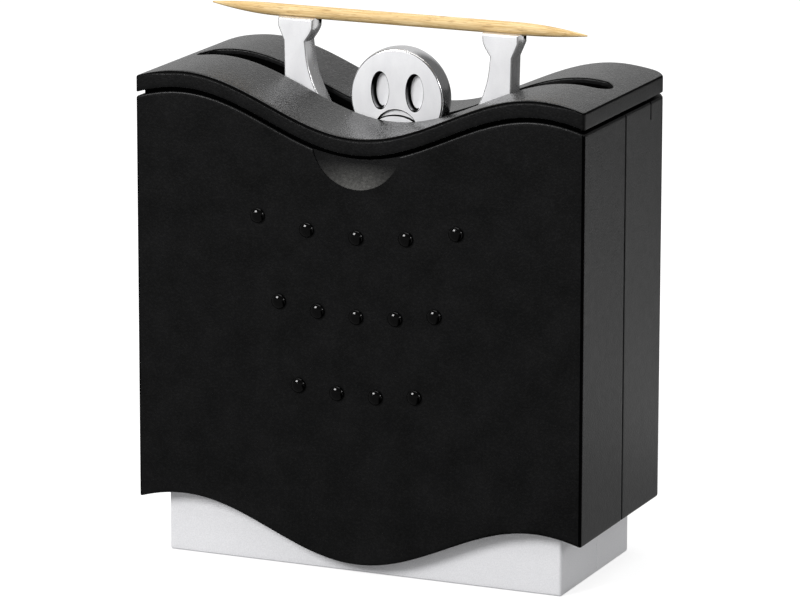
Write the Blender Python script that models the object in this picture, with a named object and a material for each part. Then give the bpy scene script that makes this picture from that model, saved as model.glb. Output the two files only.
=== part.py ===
"""Toothpick dispenser: a black telescoping casing over a silver base, with a silver figure
that lifts one toothpick through a slot in the wavy lid.

Metres, +Z up, +X to the right, the front looks towards -Y. The origin is on the table,
in the middle of the footprint.
"""
import math

import bmesh
import bpy
from mathutils import Vector

MM = 0.001

# Toothpicks of the usual size; the length and the openings of the dispenser follow from them
pick_length = 65.0 * MM
pick_radius = 1.1 * MM
pick_tip_length = 11.0 * MM
pick_shift = 0.7 * MM
pick_tip_radius = 0.15 * MM
pick_groove_gap = 0.15 * MM
pick_groove_depth = 0.4 * MM
pick_rest_gap = 0.25 * MM
pick_catch_gap = 0.08 * MM
spare_first_offset = 3.8 * MM
spare_stagger = 0.35 * MM
spare_layer_counts = (3, 2)

# Running clearances, and how far tools reach past or into what they cut or join
stop_gap = 0.3 * MM
slide_gap = 0.3 * MM
seat_gap = 0.3 * MM
figure_gap = 0.3 * MM
overrun = 1.0 * MM
embed = 0.5 * MM

# Casing: two half shells that meet in a seam at mid depth
casing_depth = 35.6 * MM
casing_wall = 2.0 * MM
casing_bottom_height = 6.45 * MM
casing_above_hopper = 1.85 * MM
front_corner_radius = 0.5 * MM
rear_corner_radius = 2.0 * MM
edge_chamfer = 0.25 * MM
seam_gap = 0.3 * MM

# The wave that the top and the bottom edge follow
wave_period = 61.0 * MM
wave_height = 4.25 * MM

# Upstanding lip inside the casing's top edge, which the lid sits over
lip_inset = 1.1 * MM
lip_height = 1.75 * MM
nib_height = 0.45 * MM
nib_length = 3.0 * MM
nib_depth = 0.5 * MM
nib_from_rear = 6.9 * MM
slit_width = 0.35 * MM
slit_length = 2.7 * MM
slit_depth = 0.8 * MM

# Lid
lid_shadow_gap = 0.9 * MM
lid_thickness = 2.5 * MM
lid_skin = 1.4 * MM
lid_rim_wall = 0.9 * MM
lid_edge_radius = 0.7 * MM
slot_end_room = 3.0 * MM
slot_side_gap = 0.475 * MM
slot_edge_radius = 0.3 * MM
slot_collar_wall = 1.0 * MM
slot_collar_depth = 0.8 * MM

# Thumb scoop in the front shell
scoop_radius = 7.75 * MM
scoop_drop = 4.6 * MM
scoop_top_depth = 0.85 * MM
scoop_bottom_depth = 0.3 * MM

# Studs on the front, in rows below the casing's mean top edge, with a slight smile in each row
stud_radius = 1.25 * MM
stud_dome_height = 0.75 * MM
stud_stem_radius = 0.6 * MM
stud_stem_hole_gap = 0.15 * MM
stud_seat_gap = 0.1 * MM
stud_row_drops = (16.5 * MM, 29.35 * MM, 42.2 * MM)
stud_spacings = (8.55 * MM, 6.72 * MM, 6.7 * MM)
stud_counts = (5, 5, 4)
stud_smile_rise = 2.9 * MM
stud_smile_reach = 20.0 * MM

# Base: two silver half shells, closed below by a plate
base_end_gap = 2.2 * MM
base_side_gap = 0.6 * MM
base_wall = 1.8 * MM
base_roof = 1.8 * MM
base_cover = 1.83 * MM
base_clear_of_table = 0.35 * MM
base_front_radius = 0.5 * MM
base_rear_radius = 2.0 * MM
shoulder_height = 4.0 * MM
shoulder_length = 20.0 * MM
shoulder_drop = 0.3 * MM
arm_thickness = 1.2 * MM
arm_relief = 0.1 * MM
arm_neck_length = 10.0 * MM
arm_head_length = 30.0 * MM
arm_head_height = 1.6 * MM

# Stop ledges inside the casing, which catch the arm heads when the casing is lifted
ledge_above_edge = 0.5 * MM
ledge_height = 1.4 * MM
ledge_length = 4.8 * MM

# Bottom plate, pad and ballast
plate_bottom = 0.7 * MM
plate_thickness = 2.2 * MM
plate_corner_radius = 1.0 * MM
pad_screw_gap = 1.9 * MM
pad_side_margin = 4.2 * MM
pad_thickness = 0.6 * MM
pad_corner_radius = 2.0 * MM
post_length = 7.0 * MM
post_width = 6.5 * MM
ballast_end_gap = 0.5 * MM
ballast_side_gap = 2.4 * MM
ballast_height = 14.0 * MM
ballast_corner_radius = 1.5 * MM

# Screws: shank radius, shank length, head radius, head height
plate_screw = (1.0 * MM, 10.0 * MM, 2.1 * MM, 0.9 * MM)
plate_screw_end_margin = 5.3 * MM
plate_screw_side_margin = 5.0 * MM
casing_screw_shank = 1.2 * MM
casing_screw_head = (2.4 * MM, 1.6 * MM)
casing_screw_bite = 9.4 * MM
casing_screw_end_margin = 9.5 * MM
casing_screw_recess = 0.6 * MM
figure_screw_shank = 1.5 * MM
figure_screw_head = (2.6 * MM, 2.2 * MM)
figure_screw_end_wall = 3.5 * MM
figure_screw_x = 7.0 * MM
figure_screw_recess = 0.3 * MM
screw_gap = 0.3 * MM
screw_crown_share = 0.25
boss_radius = 3.0 * MM
boss_head_radius = 4.0 * MM
boss_head_length = 3.3 * MM
pilot_spare_length = 1.5 * MM

# Hopper: a V-floored tray for the toothpicks
hopper_wall = 1.0 * MM
hopper_floor = 1.3 * MM
hopper_slope = math.radians(20.0)
hopper_height = 12.12 * MM
hopper_seat_gap = 0.2 * MM
hopper_end_room = 1.0 * MM
hopper_end_gap = 0.5 * MM
hopper_side_gap = 0.3 * MM
throat_end_gap = 1.1 * MM
throat_side_gap = 0.275 * MM

# Figure: one flat plate with rounded edges, its head placed from the casing's top edge
figure_thickness = 3.85 * MM
figure_edge = 0.5 * MM
head_radius = 8.15 * MM
head_above_edge = 3.0 * MM
eye_half_width = 1.55 * MM
eye_half_height = 3.0 * MM
eye_spread = 2.95 * MM
eye_above_head = 1.1 * MM
mouth_half_width = 3.2 * MM
mouth_rise = 1.55 * MM
mouth_below_head = 3.45 * MM
pocket_depth = 2.2 * MM
hand_outer = 21.0 * MM
hand_width = 6.5 * MM
hand_height = 1.6 * MM
hand_above_wrist = 2.3 * MM
wrist_above_head = 7.9 * MM
wrist_outer_step = 1.0 * MM
wrist_inner_step = 1.35 * MM
shoulder_outer_step = 1.3 * MM
neck_half_width = 3.6 * MM
neck_length = 1.188 * MM
armpit_above_neck = 2.4 * MM
waist_half_width = 12.6 * MM
waist_below_hopper = 1.0 * MM
tang_shoulder = 0.6 * MM
tang_above_plate = 1.4 * MM
# Inner edge of a forearm, from the wrist down to the neck: share of the way from the wrist
# in towards the neck, and share of the way down
forearm_shares = (
    (0.03, 0.19),
    (0.075, 0.32),
    (0.125, 0.42),
    (0.20, 0.53),
    (0.30, 0.66),
    (0.43, 0.79),
    (0.60, 0.90),
    (0.80, 0.97),
)
# Outer edge of the body, from the armpit down to the waist, as shares of the same kind
flank_shares = (
    (0.05, 0.10),
    (0.20, 0.25),
    (0.45, 0.42),
    (0.70, 0.62),
    (0.90, 0.82),
)

# Facets
wave_steps = 36
corner_steps = 3
round_steps = 16
small_round_steps = 12
stud_dome_steps = 4
lid_end_steps = 2 * corner_steps + 2

# Lengths along X, from the toothpick outwards
hopper_length = pick_length + 2 * (hopper_end_room + hopper_wall)
casing_width = hopper_length + 2 * (hopper_end_gap + arm_thickness + slide_gap + casing_wall)
slot_length = pick_length + 2 * slot_end_room
half_width = casing_width / 2
inner_half_width = half_width - casing_wall
base_half_width = inner_half_width - base_end_gap
casing_screw_x = half_width - casing_screw_end_margin
plate_screw_x = base_half_width - plate_screw_end_margin
pad_length = 2 * (plate_screw_x - plate_screw[2] - pad_screw_gap)
post_inner = base_half_width - base_wall + embed - post_length
ballast_length = 2 * (post_inner - ballast_end_gap)

# Depths along Y, from the casing inwards
half_seam = seam_gap / 2
half_depth = casing_depth / 2
inner_half_depth = half_depth - casing_wall
hopper_depth = 2 * (inner_half_depth - hopper_side_gap)
base_half_depth = inner_half_depth - base_side_gap
plate_screw_y = base_half_depth - plate_screw_side_margin
pad_width = 2 * (base_half_depth - pad_side_margin)
ballast_width = 2 * (base_half_depth - base_wall - ballast_side_gap)
figure_half = figure_thickness / 2
slot_width = figure_thickness + 2 * slot_side_gap
throat_width = figure_thickness + 2 * throat_side_gap
casing_screw_seat = half_depth - casing_screw_recess - casing_screw_head[1]
casing_screw_length = casing_screw_seat + casing_screw_bite
casing_screw = (casing_screw_shank, casing_screw_length, *casing_screw_head)
figure_screw_seat = figure_screw_recess + figure_screw_head[1] - ballast_width / 2
figure_screw_length = ballast_width / 2 - figure_screw_end_wall - figure_screw_seat
figure_screw = (figure_screw_shank, figure_screw_length, *figure_screw_head)

# The travel takes the figure's hands down to the hopper's floor, and the base stays covered
casing_above_apex = hopper_height + casing_above_hopper + wave_height
pick_catch_height = pick_radius / math.cos(hopper_slope) + pick_catch_gap
hand_above_edge = head_above_edge + wrist_above_head + hand_above_wrist + hand_height
pick_above_hand = pick_radius - pick_groove_depth
lift_travel = casing_above_apex + hand_above_edge + pick_above_hand - pick_catch_height
base_top = casing_bottom_height + wave_height + lift_travel + base_cover

# Heights, from the table upwards
plate_top = plate_bottom + plate_thickness
plate_head_bottom = plate_bottom + seat_gap / 2
ballast_bottom = plate_top + seat_gap
figure_screw_height = ballast_bottom + ballast_height / 2
tang_bottom = ballast_bottom + tang_above_plate
boss_height = base_top + seat_gap + boss_head_radius
hopper_drop = hopper_floor / math.cos(hopper_slope)
hopper_apex = boss_height + boss_radius + hopper_seat_gap + hopper_drop
hopper_rim = hopper_apex + hopper_height
casing_top_height = hopper_apex + casing_above_apex
ledge_bottom = casing_bottom_height + wave_height + ledge_above_edge
ledge_top = ledge_bottom + ledge_height

# The figure's places
head_height = casing_top_height + head_above_edge
neck_height = head_height - math.sqrt(head_radius ** 2 - neck_half_width ** 2) - neck_length
armpit_height = neck_height + armpit_above_neck
waist_height = hopper_apex - waist_below_hopper
wrist_height = head_height + wrist_above_head
hand_top = casing_top_height + hand_above_edge
hand_inner = hand_outer - hand_width
wrist_outer = hand_outer - wrist_outer_step
wrist_inner = hand_inner + wrist_inner_step
shoulder_outer = hand_outer - shoulder_outer_step
tang_half_width = waist_half_width - tang_shoulder
throat_length = 2 * (hand_outer + throat_end_gap)
pick_height = hand_top + pick_above_hand


def wave(x):
    """Height of the wave above its mean line: a cosine, lowest in the middle."""
    return -wave_height * math.cos(2 * math.pi * x / wave_period)


def material(name, colour, roughness, metallic=0.0):
    shader = bpy.data.materials.new(name)
    shader.use_nodes = True
    socket = shader.node_tree.nodes["Principled BSDF"].inputs
    socket["Base Color"].default_value = (*colour, 1.0)
    socket["Roughness"].default_value = roughness
    socket["Metallic"].default_value = metallic
    return shader


def add_object(name, points, faces, finish=None, smooth_angle=math.radians(32)):
    """A closed mesh object with its faces turned outwards."""
    mesh = bpy.data.meshes.new(name)
    mesh.from_pydata([tuple(point) for point in points], [], faces)
    shape = bmesh.new()
    shape.from_mesh(mesh)
    bmesh.ops.recalc_face_normals(shape, faces=shape.faces)
    shape.to_mesh(mesh)
    shape.free()
    mesh.shade_smooth()
    mesh.set_sharp_from_angle(angle=smooth_angle)
    if finish:
        mesh.materials.append(finish)
    piece = bpy.data.objects.new(name, mesh)
    bpy.context.scene.collection.objects.link(piece)
    return piece


def loft(name, sections, finish=None, closed=False):
    """Quads between matching closed sections; open lofts get a cap at each end."""
    count = len(sections[0])
    points = [point for section in sections for point in section]
    faces = []
    last = len(sections) if closed else len(sections) - 1
    for i in range(last):
        near = i * count
        far = (i + 1) % len(sections) * count
        for j in range(count):
            k = (j + 1) % count
            faces.append((near + j, near + k, far + k, far + j))
    if not closed:
        faces.append(tuple(range(count)))
        faces.append(tuple(range(len(points) - count, len(points))))
    return add_object(name, points, faces, finish)


def prism(name, outline, axis, low, high, finish=None):
    """A flat outline carried along X, Y or Z between two places."""
    place = {
        "X": lambda a, b, along: (along, a, b),
        "Y": lambda a, b, along: (a, along, b),
        "Z": lambda a, b, along: (a, b, along),
    }[axis]
    sections = [[place(a, b, along) for a, b in outline] for along in (low, high)]
    return loft(name, sections, finish)


def block(name, low, high, finish=None):
    """A box between two corners."""
    outline = [(low[0], low[1]), (high[0], low[1]), (high[0], high[1]), (low[0], high[1])]
    return prism(name, outline, "Z", low[2], high[2], finish)


def turned(name, profile, origin, axis, steps, finish=None):
    """A profile of (radius, distance) pairs turned about an axis; a zero radius is a pole."""
    along = Vector(axis).normalized()
    side = along.orthogonal().normalized()
    across = along.cross(side)
    origin = Vector(origin)
    points = []
    rings = []
    for radius, distance in profile:
        ring = []
        turns = 1 if radius == 0 else steps
        for i in range(turns):
            angle = 2 * math.pi * i / steps
            ring.append(len(points))
            spoke = math.cos(angle) * side + math.sin(angle) * across
            points.append(origin + distance * along + radius * spoke)
        rings.append(ring)
    faces = []
    for near, far in zip(rings, rings[1:]):
        for i in range(steps):
            j = (i + 1) % steps
            if len(near) == 1:
                faces.append((near[0], far[j], far[i]))
            elif len(far) == 1:
                faces.append((near[i], near[j], far[0]))
            else:
                faces.append((near[i], near[j], far[j], far[i]))
    for ring in (rings[0], rings[-1]):
        if len(ring) > 1:
            faces.append(tuple(ring))
    return add_object(name, points, faces, finish)


def rod(name, radius, start, axis, length, steps=round_steps, finish=None):
    """A plain cylinder from a start point along an axis."""
    return turned(name, [(radius, 0), (radius, length)], start, axis, steps, finish)


def rounded_rectangle(length, width, radius, steps=corner_steps):
    """Outline of a rectangle with round corners, about the origin."""
    outline = []
    for corner in range(4):
        sign_x = 1 if corner in (0, 3) else -1
        sign_y = 1 if corner in (0, 1) else -1
        centre_x = sign_x * (length / 2 - radius)
        centre_y = sign_y * (width / 2 - radius)
        for i in range(steps + 1):
            angle = math.pi / 2 * (corner + i / steps)
            outline.append((centre_x + radius * math.cos(angle), centre_y + radius * math.sin(angle)))
    return outline


def combine(target, tools, operation="DIFFERENCE"):
    """Cut hidden tool solids out of a target, or join them to it."""
    for tool in tools:
        tool.hide_render = True
        tool.display_type = "WIRE"
        modifier = target.modifiers.new(tool.name, "BOOLEAN")
        modifier.operation = operation
        modifier.solver = "EXACT"
        modifier.object = tool


def half_outline(side, half_x, half_y, radius, inset=0.0, seam=half_seam):
    """Plan of half a casing from the seam on the right, round the face, to the seam on the left.

    side is -1 for the front half and +1 for the rear half. Every inset gives as many points,
    so outlines of one half match point by point.
    """
    reach_x = half_x - inset
    reach_y = half_y - inset
    round_radius = max(radius - inset, radius / 8)
    right = [(reach_x, seam)]
    for i in range(corner_steps + 1):
        angle = math.pi / 2 * i / corner_steps
        x = reach_x - round_radius + round_radius * math.cos(angle)
        y = reach_y - round_radius + round_radius * math.sin(angle)
        right.append((x, y))
    flat = reach_x - round_radius
    face = [(flat - 2 * flat * i / wave_steps, reach_y) for i in range(1, wave_steps)]
    left = [(-x, y) for x, y in reversed(right)]
    return [(x, side * y) for x, y in right + face + left]


def body(name):
    """An empty that carries the pieces of one moving body."""
    empty = bpy.data.objects.new(name, None)
    bpy.context.scene.collection.objects.link(empty)
    return empty


def carry(parent, pieces):
    for piece in pieces:
        piece.parent = parent


def casing_blank(name, side, radius, finish):
    """Half of the casing wall: wavy top and bottom edges, and the lip that the lid sits over."""
    def section_at(index, outlines):
        def point(inset, mean, rise=0.0):
            x, y = outlines[inset][index]
            return (x, y, mean + wave(x) + rise)
        return [
            point(edge_chamfer, casing_bottom_height),
            point(0.0, casing_bottom_height, edge_chamfer),
            point(0.0, casing_top_height, -edge_chamfer),
            point(edge_chamfer, casing_top_height),
            point(lip_inset, casing_top_height),
            point(lip_inset, casing_top_height, lip_height),
            point(casing_wall, casing_top_height, lip_height),
            point(casing_wall, casing_bottom_height),
        ]
    insets = (0.0, edge_chamfer, lip_inset, casing_wall)
    outlines = {inset: half_outline(side, half_width, half_depth, radius, inset) for inset in insets}
    count = len(outlines[0.0])
    return loft(name, [section_at(i, outlines) for i in range(count)], finish)


def stop_ledges(side):
    """Ledges in the two corners of one casing half, above its bottom edge."""
    inner = base_half_width + slide_gap
    outer = inner_half_width + embed
    near = inner_half_depth - ledge_length
    far = inner_half_depth + embed
    ledges = []
    for mirror in (-1, 1):
        low = (min(mirror * inner, mirror * outer), min(side * near, side * far), ledge_bottom)
        high = (max(mirror * inner, mirror * outer), max(side * near, side * far), ledge_top)
        ledges.append(block(f"ledge_tool_{side}_{mirror}", low, high))
    return ledges


def casing_bosses(side):
    """Screw bosses that run from the wall to the seam, carried above the base's roof."""
    bosses = []
    for mirror in (-1, 1):
        start = (mirror * casing_screw_x, side * half_seam, boss_height)
        length = inner_half_depth + embed - half_seam
        bosses.append(rod(f"boss_tool_{side}_{mirror}", boss_radius, start, (0, side, 0), length))
    return bosses


def stud_places():
    """Centres of the studs on the front face, row by row."""
    places = []
    for drop, spacing, count in zip(stud_row_drops, stud_spacings, stud_counts):
        for i in range(count):
            x = (i - (count - 1) / 2) * spacing
            rise = stud_smile_rise * (x / stud_smile_reach) ** 2
            places.append((x, casing_top_height - drop + rise))
    return places


def scoop_tool():
    """Half-disc thumb scoop whose flat floor leans outwards towards its bottom."""
    rim = casing_top_height + wave(0)
    bottom = rim - scoop_drop
    centre = bottom + scoop_radius
    outline = []
    for i in range(2 * round_steps):
        angle = math.pi * i / round_steps
        outline.append((scoop_radius * math.cos(angle), centre + scoop_radius * math.sin(angle)))

    def floor(z):
        share = (z - bottom) / scoop_drop
        return scoop_bottom_depth + (scoop_top_depth - scoop_bottom_depth) * share
    front = [(x, -half_depth - overrun, z) for x, z in outline]
    back = [(x, floor(z) - half_depth, z) for x, z in outline]
    return loft("scoop_tool", [front, back])


def make_front_shell(finish):
    shell = casing_blank("casing_front_shell", -1, front_corner_radius, finish)
    bosses = casing_bosses(-1)
    combine(shell, stop_ledges(-1) + bosses, "UNION")
    shank_radius, shank_length = casing_screw[:2]
    pilot_end = casing_screw_seat - shank_length - pilot_spare_length
    cuts = [scoop_tool()]
    for mirror in (-1, 1):
        start = (mirror * casing_screw_x, overrun, boss_height)
        length = overrun - pilot_end
        cuts.append(rod(f"pilot_tool_{mirror}", shank_radius + screw_gap, start, (0, -1, 0), length))
    for number, (x, z) in enumerate(stud_places(), 1):
        start = (x, -half_depth - overrun, z)
        radius = stud_stem_radius + stud_stem_hole_gap
        length = casing_wall + 2 * overrun
        cuts.append(rod(f"stud_hole_{number}", radius, start, (0, 1, 0), length, small_round_steps))
    combine(shell, cuts)
    return shell


def make_rear_shell(finish):
    shell = casing_blank("casing_rear_shell", 1, rear_corner_radius, finish)
    joined = stop_ledges(1) + casing_bosses(1)
    cuts = []
    outward = (0, 1, 0)
    shank_hole = casing_screw[0] + screw_gap
    head_hole = casing_screw[2] + screw_gap
    head_floor = casing_screw_seat - seat_gap
    nib_middle = half_depth - nib_from_rear
    for mirror in (-1, 1):
        screw_x = mirror * casing_screw_x
        boss_start = (screw_x, inner_half_depth - boss_head_length, boss_height)
        boss_length = boss_head_length + embed
        boss_head = rod(f"boss_head_{mirror}", boss_head_radius, boss_start, outward, boss_length)
        joined.append(boss_head)
        shank_start = (screw_x, half_seam - overrun, boss_height)
        cuts.append(rod(f"shank_tool_{mirror}", shank_hole, shank_start, outward, casing_depth))
        head_start = (screw_x, head_floor, boss_height)
        head_length = half_depth + overrun - head_floor
        cuts.append(rod(f"head_tool_{mirror}", head_hole, head_start, outward, head_length))
        # Snap nib on the lip, in the shadow gap, over a short slit in the wall
        lip_x = half_width - lip_inset
        lip_base = casing_top_height + wave(lip_x)
        nib_x = sorted((mirror * (lip_x - embed), mirror * (lip_x + nib_depth)))
        nib_y = (nib_middle - nib_length / 2, nib_middle + nib_length / 2)
        nib_z = (lip_base + edge_chamfer, lip_base + edge_chamfer + nib_height)
        joined.append(block(f"nib_tool_{mirror}", *zip(nib_x, nib_y, nib_z)))
        slit_x = sorted((mirror * (half_width - slit_depth), mirror * (half_width + overrun)))
        slit_y = (nib_middle - slit_width / 2, nib_middle + slit_width / 2)
        slit_top = casing_top_height + wave(half_width) + edge_chamfer
        slit_z = (slit_top - slit_length, slit_top)
        cuts.append(block(f"slit_tool_{mirror}", *zip(slit_x, slit_y, slit_z)))
    combine(shell, joined, "UNION")
    combine(shell, cuts)
    return shell


def make_studs(finish):
    """Domed studs whose stems stand in holes through the front wall."""
    studs = []
    stem_length = casing_wall + stud_seat_gap
    profile = [(0, -stem_length), (stud_stem_radius, -stem_length), (stud_stem_radius, 0)]
    for i in range(stud_dome_steps):
        angle = math.pi / 2 * i / stud_dome_steps
        profile.append((stud_radius * math.cos(angle), stud_dome_height * math.sin(angle)))
    profile.append((0, stud_dome_height))
    for number, (x, z) in enumerate(stud_places(), 1):
        seat = (x, -half_depth - stud_seat_gap, z)
        stud = turned(f"stud_{number:02d}", profile, seat, (0, -1, 0), small_round_steps, finish)
        studs.append(stud)
    return studs


def make_screw(name, sizes, head_seat, axis, finish):
    """A pan-head screw. head_seat is the middle of the head's underside; axis points out of it."""
    shank_radius, shank_length, head_radius, head_height = sizes
    crown = head_height * screw_crown_share
    profile = [
        (0, -shank_length),
        (shank_radius / 2, -shank_length),
        (shank_radius, shank_radius - shank_length),
        (shank_radius, 0),
        (head_radius, 0),
        (head_radius, head_height - crown),
        (head_radius - crown, head_height),
        (0, head_height),
    ]
    return turned(name, profile, head_seat, axis, small_round_steps, finish)


def make_casing_screws(finish):
    screws = []
    for side, mirror in (("left", -1), ("right", 1)):
        seat = (mirror * casing_screw_x, casing_screw_seat, boss_height)
        screws.append(make_screw(f"casing_screw_{side}", casing_screw, seat, (0, 1, 0), finish))
    return screws


def slot_outline(grow):
    """Outline of the lid's slot, grown outwards; it matches lid_outline point by point."""
    radius = slot_width / 2 + grow
    reach = slot_length / 2 - slot_width / 2
    front = [(reach * (2 * i / wave_steps - 1), -radius) for i in range(wave_steps)]
    end = []
    for i in range(lid_end_steps):
        angle = math.pi * (i / lid_end_steps - 1 / 2)
        end.append((reach + radius * math.cos(angle), radius * math.sin(angle)))
    half = front + end
    return half + [(-x, -y) for x, y in half]


def lid_outline(inset):
    """Outline of the lid, round-cornered like the casing and drawn in by an inset."""
    reach_x = half_width - inset
    reach_y = half_depth - inset
    front_round = max(front_corner_radius - inset, front_corner_radius / 8)
    rear_round = max(rear_corner_radius - inset, rear_corner_radius / 8)

    def long_side(y, radius):
        flat = reach_x - radius
        return [(flat * (2 * i / wave_steps - 1), y) for i in range(wave_steps)]

    def arc(y, radius, start):
        centre_y = y - math.copysign(radius, y)
        spokes = [start + math.pi / 2 * i / corner_steps for i in range(corner_steps + 1)]
        flat = reach_x - radius
        return [(flat + radius * math.cos(a), centre_y + radius * math.sin(a)) for a in spokes]
    front = long_side(-reach_y, front_round)
    rear = [(-x, y) for x, y in long_side(reach_y, rear_round)]
    front_arc = arc(-reach_y, front_round, -math.pi / 2)
    rear_arc = arc(reach_y, rear_round, 0)
    middle = [(reach_x, (front_arc[-1][1] + rear_arc[0][1]) / 2)]
    right = front_arc + middle + rear_arc[:-1]
    left = [(-x, y) for x, y in reversed(front_arc[1:] + middle + rear_arc)]
    return front + right + rear + left


def between(inner, outer, share):
    return [(a[0] + (b[0] - a[0]) * share, a[1] + (b[1] - a[1]) * share) for a, b in zip(inner, outer)]


def make_lid(finish):
    """The wavy lid as one closed band of sections, from the slot over the rim and back below."""
    bottom = casing_top_height + lid_shadow_gap
    top = bottom + lid_thickness
    ceiling = top - lid_skin
    soft = lid_edge_radius
    collar = ceiling - slot_collar_depth
    slot_top = slot_outline(slot_edge_radius)
    edge_top = lid_outline(soft)
    inner_rim = lid_outline(lid_rim_wall)
    collar_outer = slot_outline(slot_collar_wall)
    bands = [(slot_top, top)]
    bands += [(between(slot_top, edge_top, share), top) for share in (1 / 3, 2 / 3)]
    for i in range(3):
        angle = math.pi / 2 * i / 2
        inset = soft * (1 - math.sin(angle))
        bands.append((lid_outline(inset), top - soft * (1 - math.cos(angle))))
    bands += [(lid_outline(0.0), bottom), (inner_rim, bottom), (inner_rim, ceiling)]
    bands += [(between(inner_rim, collar_outer, share), ceiling) for share in (1 / 3, 2 / 3)]
    bands += [(collar_outer, ceiling), (collar_outer, collar), (slot_outline(0.0), collar)]
    bands.append((slot_outline(0.0), top - slot_edge_radius))
    sections = []
    for outline, height in bands:
        sections.append([(x, y, height + wave(x)) for x, y in outline])
    return loft("lid", sections, finish, closed=True)


def hopper_floor_top(y):
    return hopper_apex + abs(y) * math.tan(hopper_slope)


def make_hopper(finish):
    """A tray with a V floor, open along its middle where the figure rises through it."""
    outer = hopper_depth / 2
    inner = outer - hopper_wall
    outline = [
        (-outer, hopper_rim),
        (-outer, hopper_floor_top(outer) - hopper_drop),
        (0, hopper_apex - hopper_drop),
        (outer, hopper_floor_top(outer) - hopper_drop),
        (outer, hopper_rim),
        (inner, hopper_rim),
        (inner, hopper_floor_top(inner)),
        (0, hopper_apex),
        (-inner, hopper_floor_top(inner)),
        (-inner, hopper_rim),
    ]
    half_length = hopper_length / 2
    hopper = prism("hopper", outline, "X", -half_length, half_length, finish)
    end = [
        (-outer + hopper_wall / 2, hopper_rim),
        (-outer + hopper_wall / 2, hopper_floor_top(outer) - hopper_drop / 2),
        (0, hopper_apex - hopper_drop / 2),
        (outer - hopper_wall / 2, hopper_floor_top(outer) - hopper_drop / 2),
        (outer - hopper_wall / 2, hopper_rim),
    ]
    ends = [
        prism("hopper_end_tool_left", end, "X", -half_length, hopper_wall - half_length),
        prism("hopper_end_tool_right", end, "X", half_length - hopper_wall, half_length),
    ]
    combine(hopper, ends, "UNION")
    low = (-throat_length / 2, -throat_width / 2, hopper_apex - hopper_drop - overrun)
    high = (throat_length / 2, throat_width / 2, hopper_floor_top(throat_width / 2) + overrun)
    combine(hopper, [block("throat_tool", low, high)])
    return hopper


def make_pick(name, centre, finish):
    """A round toothpick along X, pointed at both ends."""
    half = pick_length / 2
    taper = [(pick_tip_radius, -half)]
    for share in (0.5, 1.0):
        swell = (pick_radius - pick_tip_radius) * math.sin(math.pi / 2 * share)
        taper.append((pick_tip_radius + swell, share * pick_tip_length - half))
    profile = taper + [(radius, -distance) for radius, distance in reversed(taper)]
    return turned(name, profile, centre, (1, 0, 0), small_round_steps, finish)


def make_spare_picks(finish):
    """Loose toothpicks on both slopes of the hopper's floor, the upper layer lying in the
    grooves of the lower one."""
    picks = []
    pitch = 2 * pick_radius + pick_rest_gap
    rise = pitch * math.sqrt(3) / 2
    for side, mirror in (("front", -1), ("rear", 1)):
        number = 0
        for layer, count in enumerate(spare_layer_counts):
            lift = pick_radius + pick_rest_gap + layer * rise
            for i in range(count):
                number += 1
                along = (i + layer / 2) * pitch * math.cos(hopper_slope)
                y = spare_first_offset + along - layer * rise * math.sin(hopper_slope)
                foot = y + lift * math.sin(hopper_slope)
                z = hopper_floor_top(foot) + lift * math.cos(hopper_slope)
                x = spare_stagger * (-1) ** number * mirror
                pick = make_pick(f"spare_toothpick_{side}_{number}", (x, mirror * y, z), finish)
                picks.append(pick)
    return picks


def base_blank(name, side, radius, finish):
    """Half of the base box with its roof: walls, a slot for the figure, posts, shoulders and arms."""
    outer = half_outline(side, base_half_width, base_half_depth, radius)
    shell = prism(name, outer, "Z", base_clear_of_table, base_top, finish)
    inner = half_outline(side, base_half_width, base_half_depth, radius, base_wall, half_seam - overrun)
    roof = base_top - base_roof
    cavity = prism(f"cavity_tool_{side}", inner, "Z", base_clear_of_table - overrun, roof)
    combine(shell, [cavity])
    joined = []
    cuts = []
    hole = plate_screw[0] + screw_gap
    hole_length = plate_top + plate_screw[1] + pilot_spare_length
    for mirror in (-1, 1):
        joined += base_additions(side, mirror, roof)
        start = (mirror * plate_screw_x, side * plate_screw_y, 0)
        cuts.append(rod(f"post_hole_{side}_{mirror}", hole, start, (0, 0, 1), hole_length))
    combine(shell, joined, "UNION")
    stem = tang_half_width + figure_gap
    near, far = sorted((side * (half_seam - overrun), side * (figure_half + figure_gap)))
    low = (-stem, near, roof - overrun)
    high = (stem, far, base_top + overrun)
    cuts.append(block(f"stem_slot_{side}", low, high))
    combine(shell, cuts)
    return shell


def base_additions(side, mirror, roof):
    """Screw post, shoulder and stop arm of one quarter of the base."""
    def span(sign, a, b):
        return tuple(sorted((sign * a, sign * b)))
    wall_x = base_half_width - base_wall
    wall_y = base_half_depth - base_wall
    post_x = span(mirror, post_inner, wall_x + embed)
    post_y = span(side, wall_y + embed - post_width, wall_y + embed)
    post_z = (plate_top + seat_gap, roof + embed)
    post = block(f"post_tool_{side}_{mirror}", *zip(post_x, post_y, post_z))
    arm_outer = inner_half_width - slide_gap
    shoulder_x = span(mirror, base_half_width - embed, arm_outer)
    shoulder_y = span(side, half_seam, shoulder_length / 2)
    shoulder_top = base_top - shoulder_drop
    shoulder_z = (shoulder_top - shoulder_height, shoulder_top)
    shoulder = block(f"shoulder_tool_{side}_{mirror}", *zip(shoulder_x, shoulder_y, shoulder_z))
    head_bottom = ledge_top + lift_travel + stop_gap
    head_top = head_bottom + arm_head_height
    neck = arm_neck_length / 2
    head = arm_head_length / 2
    outline = [
        (side * half_seam, shoulder_top - embed),
        (side * neck, shoulder_top - embed),
        (side * neck, head_bottom),
        (side * head, head_bottom),
        (side * head, head_top),
        (side * half_seam, head_top),
    ]
    arm_x = span(mirror, arm_outer - arm_thickness, arm_outer - arm_relief)
    arm = prism(f"arm_tool_{side}_{mirror}", outline, "X", *arm_x)
    return [post, shoulder, arm]


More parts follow.
